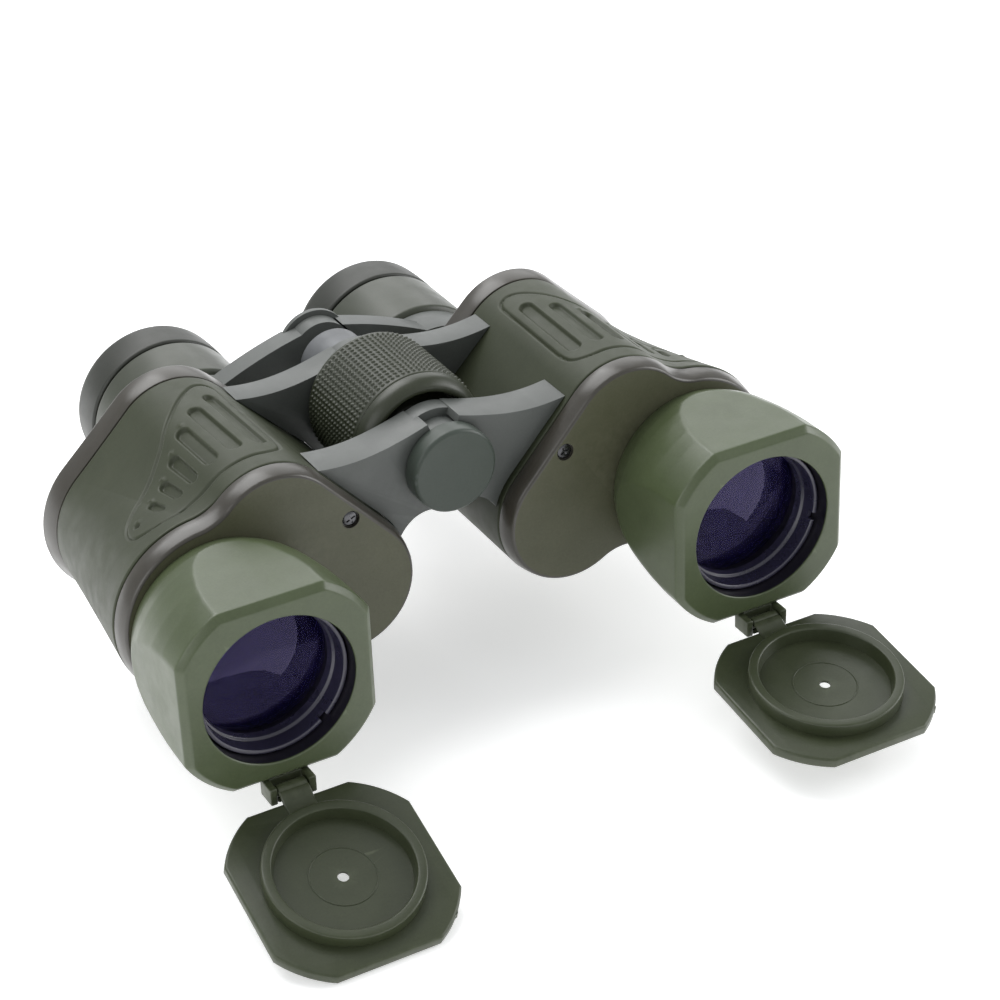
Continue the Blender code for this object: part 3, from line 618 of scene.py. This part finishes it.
def rubber_armour(side):
    """Armour skin with its incised panel, slots, dimples and rounded rims."""
    front, front_out = housing_outline(FRONT_SECTION, FRONT_FILLETS, True)
    rear, rear_out = housing_outline(REAR_SECTION, REAR_FILLETS, True)
    middle = (front + rear) / 2
    along = np.concatenate([[0], np.cumsum(np.linalg.norm(np.diff(middle, axis=0), axis=1))])
    rim = ((0.0, -0.8), (0.04, -0.5), (0.16, -0.22), (0.4, -0.05), (0.75, 0.0))
    levels = [(ARMOUR_FRONT + y, offset) for y, offset in rim]
    levels += [(y, 0.0) for y in np.linspace(ARMOUR_FRONT + 1.0, ARMOUR_REAR - 1.0, 156)]
    levels += [(ARMOUR_REAR - y, offset) for y, offset in reversed(rim)]
    depth, offset = np.array(levels).T
    relief = panel_relief(*np.meshgrid(along, depth, indexing="ij"))
    depth = np.append(depth, [ARMOUR_REAR, ARMOUR_FRONT])
    offset = np.append(offset, [-2.0, -2.0])
    relief = np.pad(relief, ((0, 0), (0, 2)))
    t = ((depth - ARMOUR_FRONT) / (ARMOUR_REAR - ARMOUR_FRONT))[None, :, None]
    reach = (offset[None, :] + relief)[..., None]
    flat = ((front[:, None] + front_out[:, None] * reach) * (1 - t)
            + (rear[:, None] + rear_out[:, None] * reach) * t)
    points = np.stack([flat[..., 0] * SIDES[side], np.broadcast_to(depth, flat.shape[:2]),
                       flat[..., 1]], -1)
    make(f"{side}_armour", points.reshape(-1, 3), grid_faces(*flat.shape[:2]), ["armour"],
         f"{side}_barrel", [f"{side}_rubber_armour"], 60)


# ---- end plates -------------------------------------------------------------------------------
# levels hold (y, growth of the outline), from the hidden end of a plate to its open face
FRONT_PLATE_LEVELS = ((38.6, -1.6), (42.0, -0.4), (42.0, 1.25), (41.9, 1.5), (41.6, 1.6), (39.0, 1.2),
                      (37.2, 0.75), (36.85, 0.58), (36.6, 0.35), (36.45, 0.1), (36.4, -0.2))
REAR_PLATE_LIP = ((99.9, -2.2), (99.9, -0.3), (100.0, -0.05), (100.3, 0.1))
REAR_PLATE_EDGE = ((105.9, 0.0), (106.35, -0.08), (106.7, -0.3), (106.92, -0.6), (BODY_REAR, -1.0),
                   (BODY_REAR, -1.8))
EYE_BOSS = ((106.0, 18.6), (107.2, 18.55), (109.2, 18.3), (110.4, 17.9), (111.1, 17.4), (111.5, 16.6))
SCREW_X, SCREW_Z = 32.0, 17.7
SCREW_PROFILE = ((0, 36.62, 0), (1.3, 36.66, 0.4), (2.15, 37.0, 0.3), (2.1, 37.25, 0.1), (1.0, 37.28, 0),
                 (1.0, 41.4, 0), (0, 41.4, 0))


def front_plate(side):
    """Olive-brown plate with a darker rim, the objective's port and a screw recess."""
    face, face_out = housing_outline(FACE_SECTION, FRONT_FILLETS)
    base = raw(*stacked(side, [(face + face_out * grown, y) for y, grown in FRONT_PLATE_LEVELS]))
    screw_x = SIDES[side] * SCREW_X
    steps = [("DIFFERENCE", plug(SIDES[side] * OBJECTIVE_X, 0, BORE_R, 34, 44)),
             ("DIFFERENCE", plug(screw_x, SCREW_Z, 2.5, 34, 37.3, 48)),
             ("DIFFERENCE", plug(screw_x, SCREW_Z, 1.3, 37.0, 44, 32))]
    carved(f"{side}_face_plate", base, steps, ["face", "rim"], f"{side}_barrel",
           [f"{side}_front_plate"], look_from=36.42)


def rear_plate(side):
    """Rear plate with the boss and the port of the eyepiece."""
    back, back_out = housing_outline(PLATE_SECTION, REAR_FILLETS)
    levels = [(back - back_out * 2.6, BODY_REAR - 2.4)]
    levels += [(barrel_section(y, grown), y) for y, grown in REAR_PLATE_LIP]
    levels += [(back + back_out * grown, y) for y, grown in REAR_PLATE_EDGE]
    base = raw(*stacked(side, levels))
    eye_x = SIDES[side] * EYE_X
    boss = [(x, y, z) for y, radius in EYE_BOSS for x, z in arc(eye_x, EYE_Z, radius, 0, 360, 120)[:-1]]
    steps = [("UNION", raw(boss, stack_faces(120, len(EYE_BOSS)))),
             ("DIFFERENCE", plug(eye_x, EYE_Z, 15.1, 100, 114))]
    carved(f"{side}_back_plate", base, steps, ["rim", "face"], f"{side}_barrel",
           [f"{side}_rear_plate"], look_from=BODY_REAR - 0.02)


def plate_screw(side):
    """Round-headed cross screw of the front plate."""
    x = SIDES[side] * SCREW_X
    line = softened(SCREW_PROFILE, False)
    base = raw(spin(line, x, SCREW_Z, 48), grid_faces(48, len(line), False))
    steps = [("DIFFERENCE", rotated_brick(x, SCREW_Z, turn, -1.35, 1.35, 0.26, 36.0, 37.05))
             for turn in (25, 115)]
    carved(f"{side}_cross_screw", base, steps, ["steel"], f"{side}_barrel",
           [f"{side}_plate_screw"], bevel=0.04)


# ---- objectives -------------------------------------------------------------------------------
HOOD_REAR = 36.1
HOOD_BELL_Y = (0, 10, 16, 22, 26, 30, 33, 36.4)
HOOD_BELL_R = (30.0, 29.8, 29.35, 28.55, 27.9, 26.9, 25.7, 24.2)
HOOD_EDGE = ((2.0, 0.02), (1.75, 0.1), (1.5, 0.3), (0.35, 1.38), (0.15, 1.6), (0.04, 1.8), (0.0, 2.1))
BORE_EDGE = ((0.0, 0.45), (0.05, 0.18), (0.2, 0.04), (0.45, 0.0), (3.6, 0.0), (HOOD_REAR, 0.0))
SPANNER_RING = ((20.4, 4.0, 0.3), (20.4, 11.3, 0), (18.3, 11.3, 0), (18.3, 8.9, 0.3), (19.1, 8.5, 0.2),
                (19.3, 4.2, 0.3))
NOTCH_DEG = {"left": -14, "right": -50}
FRONT_LENS = ((0, 11.8), (5.0, 11.95), (10.0, 12.4), (14.5, 13.1), (19.2, 14.2), (19.2, 15.4),
              (14.5, 16.6), (10.0, 17.4), (5.0, 17.85), (0, 18.0))
REAR_LENS = ((0, 18.3), (5.0, 18.15), (10.0, 17.7), (14.5, 16.9), (19.2, 15.7), (19.2, 20.0),
             (14.5, 19.8), (10.0, 19.6), (5.0, 19.45), (0, 19.4))
RIDGES, RIDGE_PITCH = 7, 0.85


def soft_least(a, b, softness):
    """Smaller of two radii, rounded where they cross."""
    return -softness * np.log(np.exp(-a / softness) + np.exp(-b / softness))


def hood_radius(angle, y, inset):
    """Outside radius of a hood: a bell cut by four flats."""
    bell = np.interp(y, HOOD_BELL_Y, HOOD_BELL_R)
    to_flat = (np.degrees(angle) + 45) % 90 - 45
    flat = (HOOD_FLAT - inset) / np.cos(np.radians(to_flat))
    return soft_least(bell - inset, flat, 0.045)


def objective_hood(side):
    """Hood with a rounded front edge, a flat face and a bore painted black as shade."""
    x = SIDES[side] * OBJECTIVE_X
    angle = np.linspace(0, 2 * math.pi, 288, endpoint=False)
    rings = [(y, hood_radius(angle, y, 0.0)) for y in np.linspace(HOOD_REAR, 2.4, 60)]
    rings += [(y, hood_radius(angle, y, inset)) for y, inset in HOOD_EDGE]
    outer, mouth = rings[-1][1], BORE_R + BORE_EDGE[0][1]
    rings += [(0.0, outer + (mouth - outer) * share) for share in (0.25, 0.5, 0.75, 0.93)]
    rings += [(y, np.full_like(angle, BORE_R + grown)) for y, grown in BORE_EDGE]
    points = np.stack([np.stack([x + radius * np.cos(angle), np.full_like(angle, y),
                                 radius * np.sin(angle)], -1) for y, radius in rings], 1).reshape(-1, 3)
    faces = grid_faces(len(angle), len(rings))
    middles = points[faces].mean(1)
    # The bore wall behind the lip takes the black baffle look: painted shade inside the bore.
    shaded_bore = (np.hypot(middles[:, 0] - x, middles[:, 2]) < BORE_R + 0.02) & (middles[:, 1] > 0.4)
    make(f"{side}_hood", points, faces, ["hood", "baffle"], f"{side}_barrel",
         [f"{side}_objective_hood"], 24, shaded_bore)


def objective_glass(side):
    """Notched spanner ring, ridged lens cell and the two coated lenses."""
    x = SIDES[side] * OBJECTIVE_X
    body = f"{side}_barrel"
    line = softened(SPANNER_RING, True)
    base = raw(spin(line, x, 0, 160), grid_faces(160, len(line)))
    steps = [("DIFFERENCE", rotated_brick(x, 0, NOTCH_DEG[side] + half, 15, 24, 1.1, 3.0, 6.0))
             for half in (0, 180)]
    carved(f"{side}_spanner_ring", base, steps, ["black"], body,
           [f"{side}_retaining_ring"], sharp=40)

    cell = [(20.4, 11.6, 0), (20.4, 35.6, 0), (12.5, 35.6, 0.2), (12.5, 34.9, 0.2), (17.4, 34.2, 0.4),
            (17.8, 27.0, 0.3), (18.5, 26.6, 0.2)]
    for ridge in range(RIDGES):
        cell += [(18.9, 26.0 - ridge * RIDGE_PITCH, 0.1), (18.45, 25.6 - ridge * RIDGE_PITCH, 0.1)]
    cell += [(19.3, 19.6, 0), (19.3, 11.6, 0)]
    turned(f"{side}_ridged_cell", cell, x, 0, "baffle", body, [f"{side}_lens_cell"], 120)
    for end, profile in (("front", FRONT_LENS), ("rear", REAR_LENS)):
        turned(f"{side}_{end}_glass", profile, x, 0, "glass", body,
               [f"{side}_objective_{end}_lens"], 96, 50)


# ---- lens covers ------------------------------------------------------------------------------
COVER_HALF, COVER_CORNER_R = 25.6, 29.2
COVER_BACK, COVER_FRONT = -0.3, -3.3
STRAP_WIDTH, STRAP_THICKNESS = 8.3, 1.05
STRAP_ROOT = ((-0.65, -20.6), (-0.65, -22.4), (-0.62, -24.0), (-0.3, -25.4), (0.15, -26.4), (0.45, -27.3))
STRAP_LOOP_R, BAR_R = 1.72, 0.9
BRACKET_HALF = 6.4


def opened(points, side):
    """Turn points of a shut cover about its pivot to where it hangs at rest."""
    angle = math.radians(COVER_OPEN_DEG[side])
    points = np.array(points, float)
    y, z = points[:, 1] - PIVOT_Y, points[:, 2] - PIVOT_Z
    points[:, 1] = PIVOT_Y + y * math.cos(angle) - z * math.sin(angle)
    points[:, 2] = PIVOT_Z + y * math.sin(angle) + z * math.cos(angle)
    return points


def ribbon(path, half_width, thickness, x):
    """Points and faces of a strap of constant section along a path of (y, z)."""
    path = np.array(path, float)
    along = np.gradient(path, axis=0)
    along /= np.linalg.norm(along, axis=1)[:, None]
    side_way = np.stack([-along[:, 1], along[:, 0]], 1) * thickness / 2
    soft = thickness * 0.3
    section = ((-half_width + soft, 1), (half_width - soft, 1), (half_width, 0.4), (half_width, -0.4),
               (half_width - soft, -1), (-half_width + soft, -1), (-half_width, -0.4), (-half_width, 0.4))
    points = []
    for centre, way in zip(path, side_way):
        points += [(x + across, centre[0] + way[0] * up, centre[1] + way[1] * up) for across, up in section]
    return points, stack_faces(len(section), len(path))


def cover_ring(side, profile, steps):
    """Ring stage of a cover, turned about its centre and then opened."""
    line = softened(profile, True)
    points = spin(line, SIDES[side] * OBJECTIVE_X, 0, steps)
    return raw(opened(points, side), grid_faces(steps, len(line)))


def cover_pin(side, dx, z, radius, y0, y1):
    """Cylinder stage of a cover, dx off its centre line, opened."""
    ring = arc(SIDES[side] * OBJECTIVE_X + dx, z, radius, 0, 360, 40)[:-1]
    return raw(opened([(a, y, b) for y in (y0, y1) for a, b in ring], side), stack_faces(40, 2))


def flip_cover(side):
    """Cover plate with its push-in ring, embossed circle, hole, edge nub and moulded strap."""
    x = SIDES[side] * OBJECTIVE_X
    back, front = COVER_BACK, COVER_FRONT
    half = math.degrees(math.acos(COVER_HALF / COVER_CORNER_R))
    outline = np.concatenate([arc(x, 0, COVER_CORNER_R, corner * 90 + half, corner * 90 + 90 - half, 14)
                              for corner in range(4)])
    points, faces = slab(outline, front, back, 0.75)
    base = raw(opened(points, side), faces)
    ring = ((20.5, back - 0.4, 0), (20.5, back + 3.9, 0.6), (17.9, back + 3.9, 0.5), (17.3, back - 0.4, 0))
    emboss = ((8.9, back - 0.3, 0), (8.7, back + 0.16, 0.1), (8.4, back + 0.16, 0.1), (8.2, back - 0.3, 0))
    path = list(STRAP_ROOT) + [
        (PIVOT_Y + STRAP_LOOP_R * math.cos(t), PIVOT_Z + STRAP_LOOP_R * math.sin(t))
        for t in np.radians(np.linspace(36, -225, 26))]
    points, faces = ribbon(path, STRAP_WIDTH / 2, STRAP_THICKNESS, x)
    steps = [("UNION", cover_ring(side, ring, 144)),
             ("UNION", cover_ring(side, emboss, 120)),
             ("UNION", cover_pin(side, 20.5, 19.9, 0.9, front + 0.8, back - 0.5)),
             ("UNION", raw(opened(points, side), faces)),
             ("DIFFERENCE", cover_pin(side, 0, 0, 4.6, front - 1, back - 0.8)),
             ("DIFFERENCE", cover_pin(side, 0, 0, 1.5, front - 1, back + 1))]
    carved(f"{side}_flip_cover", base, steps, ["cover"], f"{side}_cover",
           [f"{side}_lens_cover"], sharp=34)


def cover_bracket(side):
    """Forked bracket under the hood, with the bar that the strap loops round."""
    x = SIDES[side] * OBJECTIVE_X
    corners = [(x - BRACKET_HALF, -31.3), (x + BRACKET_HALF, -31.3), (x + BRACKET_HALF, -26.4),
               (x - BRACKET_HALF, -26.4)]
    bar = [(x + a, PIVOT_Y + BAR_R * math.cos(t), PIVOT_Z + BAR_R * math.sin(t)) for a in (-5.6, 5.6)
           for t in np.linspace(0, 2 * math.pi, 32, endpoint=False)]
    steps = [("DIFFERENCE", brick(x - 4.45, x + 4.45, -4.0, 2.0, -33.0, -25.0)),
             ("UNION", raw(bar, stack_faces(32, 2)))]
    carved(f"{side}_cover_clip", raw(*slab(corners, -2.8, 3.6, 0.0, 1)), steps, ["cover"],
           f"{side}_barrel", [f"{side}_cover_bracket"], bevel=0.45)


# ---- hinge and bridge arms --------------------------------------------------------------------
# name, front, split between the two layers and rear (y), knuckle radius in each layer
HINGE_ARMS = (("front", 44.0, 49.8, 55.0, (10.8, 13.2)), ("rear", 89.4, 93.6, 98.0, (13.2, 13.2)))
TUBE_BORE_R = 14.9
ARM_SHARP = 18.0


def hinge_arm(side, name, y0, middle, y1, radii):
    """Arm from the housing to the centre hinge, with its knuckle in one of two layers."""
    own_layer = 1 if side == "left" else 0
    layers = ((y0, middle - 0.1), (middle + 0.1, y1))
    own, other = layers[own_layer], layers[1 - own_layer]
    blade = np.concatenate([
        bezier((44, 31.6), (30, 27.6), (20, 28.8), (4.7, 33.7), 28), [(0, HINGE_Z)],
        bezier((4.3, 8.0), (9.0, 8.6), (13.5, 6.5), (16.8, -2.0), 20), [(44, -2)]])
    base = raw(*stacked(side, [(blade, y0), (blade, y1)]))
    trim = barrel_section((y0 + y1) / 2, 0.32)
    relief_ends = (other[0] - 1, own[0]) if own_layer else (own[1], other[1] + 1)
    steps = [
        ("DIFFERENCE", raw(*stacked(side, [(trim, y0 - 1), (trim, y1 + 1)]))),
        ("DIFFERENCE", plug(0, HINGE_Z, radii[1 - own_layer] + 0.5, *relief_ends, 120)),
        ("UNION", plug(0, HINGE_Z, radii[own_layer], own[0], own[1], 120)),
        ("DIFFERENCE", plug(0, HINGE_Z, AXLE_R + GAP, y0 - 2, y1 + 2, 48)),
    ]
    carved(f"{side}_{name}_arm", base, steps, ["arm"], f"{side}_barrel",
           [f"{side}_{name}_hinge_arm"], bevel=0.55, sharp=ARM_SHARP)


def ocular_bridge(side):
    """Arm that carries an eyepiece, with its collar, its share of the hub and the inner tube."""
    x = SIDES[side] * EYE_X
    blade = np.concatenate([bezier((3.5, 28.6), (14, 26.4), (26, 22.6), (40, 15.0), 18),
                            [(44, 12), (34, -12), (19, 0), (6, 12.6)]])
    base = raw(*stacked(side, [(blade, BRIDGE_FRONT), (blade, BRIDGE_REAR)]))
    if side == "left":
        own = (DISC_R, BRIDGE_SPLIT + 0.2, BRIDGE_REAR + 0.2)
        other = (KNUCKLE_R + 0.5, BRIDGE_FRONT - 1, BRIDGE_SPLIT)
    else:
        own = (KNUCKLE_R, BRIDGE_FRONT, BRIDGE_SPLIT - 0.2)
        other = (DISC_R + 0.5, BRIDGE_SPLIT - 0.1, BRIDGE_REAR + 1)
    steps = [("DIFFERENCE", plug(0, HINGE_Z, *other, 120)),
             ("UNION", plug(0, HINGE_Z, *own, 120)),
             ("UNION", plug(x, EYE_Z, 21.9, BRIDGE_FRONT, COLLAR_REAR, 144)),
             ("DIFFERENCE", plug(0, HINGE_Z, 3.0, BRIDGE_FRONT - 1, BRIDGE_REAR + 1, 40)),
             ("DIFFERENCE", plug(x, EYE_Z, TUBE_BORE_R, BRIDGE_FRONT - 1, COLLAR_REAR + 1))]
    carved(f"{side}_eye_arm", base, steps, ["arm"], f"{side}_bridge",
           [f"{side}_ocular_bridge"], bevel=0.5, sharp=ARM_SHARP)
    tube = [(14.6, 94.0, 0.3), (14.6, 127.2, 0.2), (13.3, 127.2, 0.2), (13.3, 94.0, 0.3)]
    turned(f"{side}_inner_tube", tube, x, EYE_Z, "black", f"{side}_bridge",
           [f"{side}_ocular_tube"], 96)


# ---- eyepieces --------------------------------------------------------------------------------
def eyepiece(side):
    """Barrel or dioptre ring, rubber eyecup, eye lens and the sleeve round it."""
    x = SIDES[side] * EYE_X
    rim = RIM_Y[side]
    groove = rim - EYECUP_LENGTH
    lens_body = "left_bridge" if side == "left" else "right_ocular"
    ring_body = "left_bridge" if side == "left" else "diopter_ring"
    node = "left_eyepiece_barrel" if side == "left" else "right_diopter_ring"
    shell = [(TUBE_BORE_R, BARREL_FRONT, 0.2), (21.4, BARREL_FRONT, 0.8),
             (BARREL_R, BARREL_FRONT + 1.2, 0.8), (BARREL_R, groove - 1.3, 0.7),
             (BARREL_R - 1.0, groove - 0.8, 0.2), (20.0, groove - 0.8, 0),
             (20.0, BARREL_FRONT + 2.6, 0), (TUBE_BORE_R, BARREL_FRONT + 2.6, 0)]
    turned(f"{side}_barrel_shell", shell, x, EYE_Z, "barrel", ring_body, [node], 160)
    cup = [(13.4, groove, 0), (BARREL_R - 0.5, groove, 0.3), (BARREL_R + 0.05, groove + 0.6, 0.4),
           (BARREL_R + 0.1, groove + 6.5, 1.5), (BARREL_R - 0.2, rim - 2.2, 1.2),
           (BARREL_R - 1.7, rim, 1.4), (BARREL_R - 3.4, rim - 0.3, 1.2),
           (17.0, groove + 4.2, 2.0), (13.4, groove + 2.4, 0.5)]
    turned(f"{side}_cup", cup, x, EYE_Z, "eyecup", ring_body, [f"{side}_eyecup"], 160)
    lens = [(0, groove - 7.5), (6.0, groove - 7.1), (11.6, groove - 5.5), (11.6, groove - 3.8),
            (6.0, groove - 3.0), (0, groove - 2.7)]
    turned(f"{side}_eye_glass", lens, x, EYE_Z, "glass", lens_body,
           [f"{side}_eye_lens"], 72, 50)
    sleeve = [(13.0, 101.0, 0.2), (13.0, groove - 1.5, 0.3), (11.0, groove - 1.5, 0.3),
              (11.4, groove - 2.4, 0.2), (11.8, groove - 3.2, 0), (11.8, 101.0, 0.2)]
    turned(f"{side}_eye_sleeve", sleeve, x, EYE_Z, "black", lens_body,
           [f"{side}_lens_sleeve"], 96)


# ---- centre hinge and focusing ----------------------------------------------------------------
KNURL_CELLS, KNURL_PITCH = 75, 1.6
KNURL_HEIGHT = 0.5


def focus_wheel():
    """Hollow wheel core with rounded rims and the knurled grip round it."""
    bore = AXLE_R + GAP
    core = [(16.8, KNURL_FRONT, 0), (18.7, KNURL_FRONT, 0.4), (18.5, 58.2, 1.2), (16.6, WHEEL_FRONT, 1.6),
            (14.8, 56.0, 0.6), (14.2, 64.0, 1.0), (7.0, 64.0, 1.0), (7.0, 57.0, 0.6), (bore, 57.0, 0.2),
            (bore, WHEEL_REAR, 0), (17.0, WHEEL_REAR, 0)]
    turned("wheel_core", core, 0, HINGE_Z, "wheel", "focus_wheel",
           ["focus_wheel_core"])
    front, rear = KNURL_FRONT + 0.1, WHEEL_REAR - 0.1
    angle = np.linspace(0, 2 * math.pi, KNURL_CELLS * 8, endpoint=False)
    depth = np.linspace(front + 0.6, rear - 0.6, 132)
    round_way = np.clip(0.35 + np.cos(KNURL_CELLS * angle), 0, 1)[:, None]
    long_way = np.clip(0.35 + np.cos((depth - front) * 2 * math.pi / KNURL_PITCH), 0, 1)[None, :]
    fade = np.clip(np.minimum(depth - front - 0.6, rear - 0.6 - depth) / 0.8, 0, 1)
    knurl = WHEEL_R - KNURL_HEIGHT + KNURL_HEIGHT * round_way * long_way * fade[None, :]
    rim = np.ones((len(angle), 1)) * [17.0, 18.2, 18.6]
    radius = np.hstack([rim, knurl, rim[:, ::-1]])
    depth = np.concatenate([[front, front, front + 0.25], depth, [rear - 0.25, rear, rear]])
    points = np.stack([radius * np.cos(angle)[:, None], np.broadcast_to(depth, radius.shape),
                       HINGE_Z + radius * np.sin(angle)[:, None]], -1)
    make("wheel_knurl", points.reshape(-1, 3), grid_faces(*radius.shape), ["wheel"],
         "focus_wheel", ["focus_wheel_grip"], 75)


def centre_parts():
    """Tripod cap, the drum behind the rear arms and the hub's end cap."""
    cap = [(0, 38.0), (8.0, 38.02), (11.3, 38.05, 0.3), (12.1, 38.7, 0.5), (12.1, 43.7, 0.3), (2.9, 43.7),
           (2.9, 49.6), (0, 49.6)]
    turned("front_cap", cap, 0, HINGE_Z, "cap", "tripod_cap", ["tripod_cap"])
    drum = [(9.9, 99.0, 0.4), (9.9, 111.4, 0.6), (9.2, 112.0, 0.4), (3.1, 112.0), (3.1, 99.0)]
    turned("hinge_drum", drum, 0, HINGE_Z, "alloy", "left_barrel", ["rear_collar"], 120)
    end_cap = [(0, 124.6), (6.4, 124.6, 0.2), (6.4, 126.1, 0.4), (5.2, 127.1, 0.8), (0, 127.3)]
    turned("hub_cap", end_cap, 0, HINGE_Z, "arm", "left_bridge", ["bridge_end_cap"], 72)


def carried_over():
    """Finishes of the CAD nodes whose own shape is shown."""
    finishes = {"hinge_axle": "steel", "tripod_socket": "brass", "front_washer": "brass",
                "focus_spindle": "steel"}
    for side in SIDES:
        # prisms and field lens take the nearly black glass: painted shade of the housing
        finishes.update({
            f"{side}_prism_housing": "baffle", f"{side}_prism_shelf": "baffle",
            f"{side}_rear_prism": "prism", f"{side}_front_prism": "prism",
            f"{side}_field_lens": "prism"})
    for name, look in finishes.items():
        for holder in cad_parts[name].material_slots:
            holder.material = LOOKS[look]


# ---- stage (metres) ---------------------------------------------------------------------------
FLOOR_HALF, FLOOR_DROP = 6.0, 0.0004
FLOOR_GREYS = ((0.3, (0.93, 0.93, 0.93, 1)), (0.7, (0.95, 0.95, 0.95, 1)))
# name, place, width and watts
LAMPS = (("key", (-0.2, 0.62, 1.2), 1.0, 14.0), ("back", (0.62, 1.1, 0.85), 1.2, 7.0),
         ("left", (-1.1, -0.3, 0.55), 0.7, 3.0), ("right", (1.1, -0.35, 0.5), 0.7, 6.5))
LAMP_AIM = Vector((0.0, 0.0, 0.05))
# place is measured from ORIGIN, turn is in degrees, lens in mm
CAMERA_PLACE = Vector((-0.29626, -0.54019, 0.40165))
CAMERA_TURN = (59.0131, 2.0073, -29.3104)
CAMERA_LENS = 103.55


def paper_floor():
    """Pale floor that glows a little, so that it stays near white."""
    mesh = bpy.data.meshes.new("floor")
    mesh.from_pydata([(x * FLOOR_HALF, y * FLOOR_HALF, -FLOOR_DROP)
                      for x, y in ((-1, -1), (1, -1), (1, 1), (-1, 1))], [], [(0, 1, 2, 3)])
    look = Look("paper")
    look.join(look.ramp(look.noise(6.0, 2.0), FLOOR_GREYS), look.shader.inputs["Base Color"])
    look.shader.inputs["Roughness"].default_value = 0.9
    look.shader.inputs["Emission Color"].default_value = (1.0, 1.0, 1.0, 1.0)
    look.shader.inputs["Emission Strength"].default_value = 0.42
    mesh.materials.append(look.material)
    linked("floor", mesh)


def soft_light():
    """Light tent and four square lamps."""
    world = bpy.data.worlds.new("tent")
    world.use_nodes = True
    background = world.node_tree.nodes["Background"]
    background.inputs["Color"].default_value = (0.96, 0.98, 1.0, 1.0)
    background.inputs["Strength"].default_value = 0.6
    bpy.context.scene.world = world
    for name, place, width, power in LAMPS:
        data = bpy.data.lights.new(name, "AREA")
        data.shape = "SQUARE"
        data.size = width
        data.energy = power
        lamp = bpy.data.objects.new(name, data)
        lamp.location = place
        lamp.rotation_euler = (LAMP_AIM - Vector(place)).to_track_quat("-Z", "Y").to_euler()
        bpy.context.scene.collection.objects.link(lamp)


def view_camera():
    """Camera at the viewing angle, with plain colour handling."""
    data = bpy.data.cameras.new("camera")
    data.lens = CAMERA_LENS
    data.sensor_width = 36.0
    data.clip_end = 20.0
    camera = bpy.data.objects.new("camera", data)
    camera.location = CAMERA_PLACE + Vector(ORIGIN)
    camera.rotation_euler = Euler([math.radians(angle) for angle in CAMERA_TURN])
    bpy.context.scene.collection.objects.link(camera)
    bpy.context.scene.camera = camera
    bpy.context.scene.view_settings.view_transform = "Standard"


def build():
    """Every visible piece of the binoculars."""
    for side in SIDES:
        rubber_armour(side)
        front_plate(side)
        rear_plate(side)
        plate_screw(side)
        objective_hood(side)
        objective_glass(side)
        flip_cover(side)
        cover_bracket(side)
        for arm in HINGE_ARMS:
            hinge_arm(side, *arm)
        ocular_bridge(side)
        eyepiece(side)
    focus_wheel()
    centre_parts()
    carried_over()


build()
paper_floor()
soft_light()
view_camera()
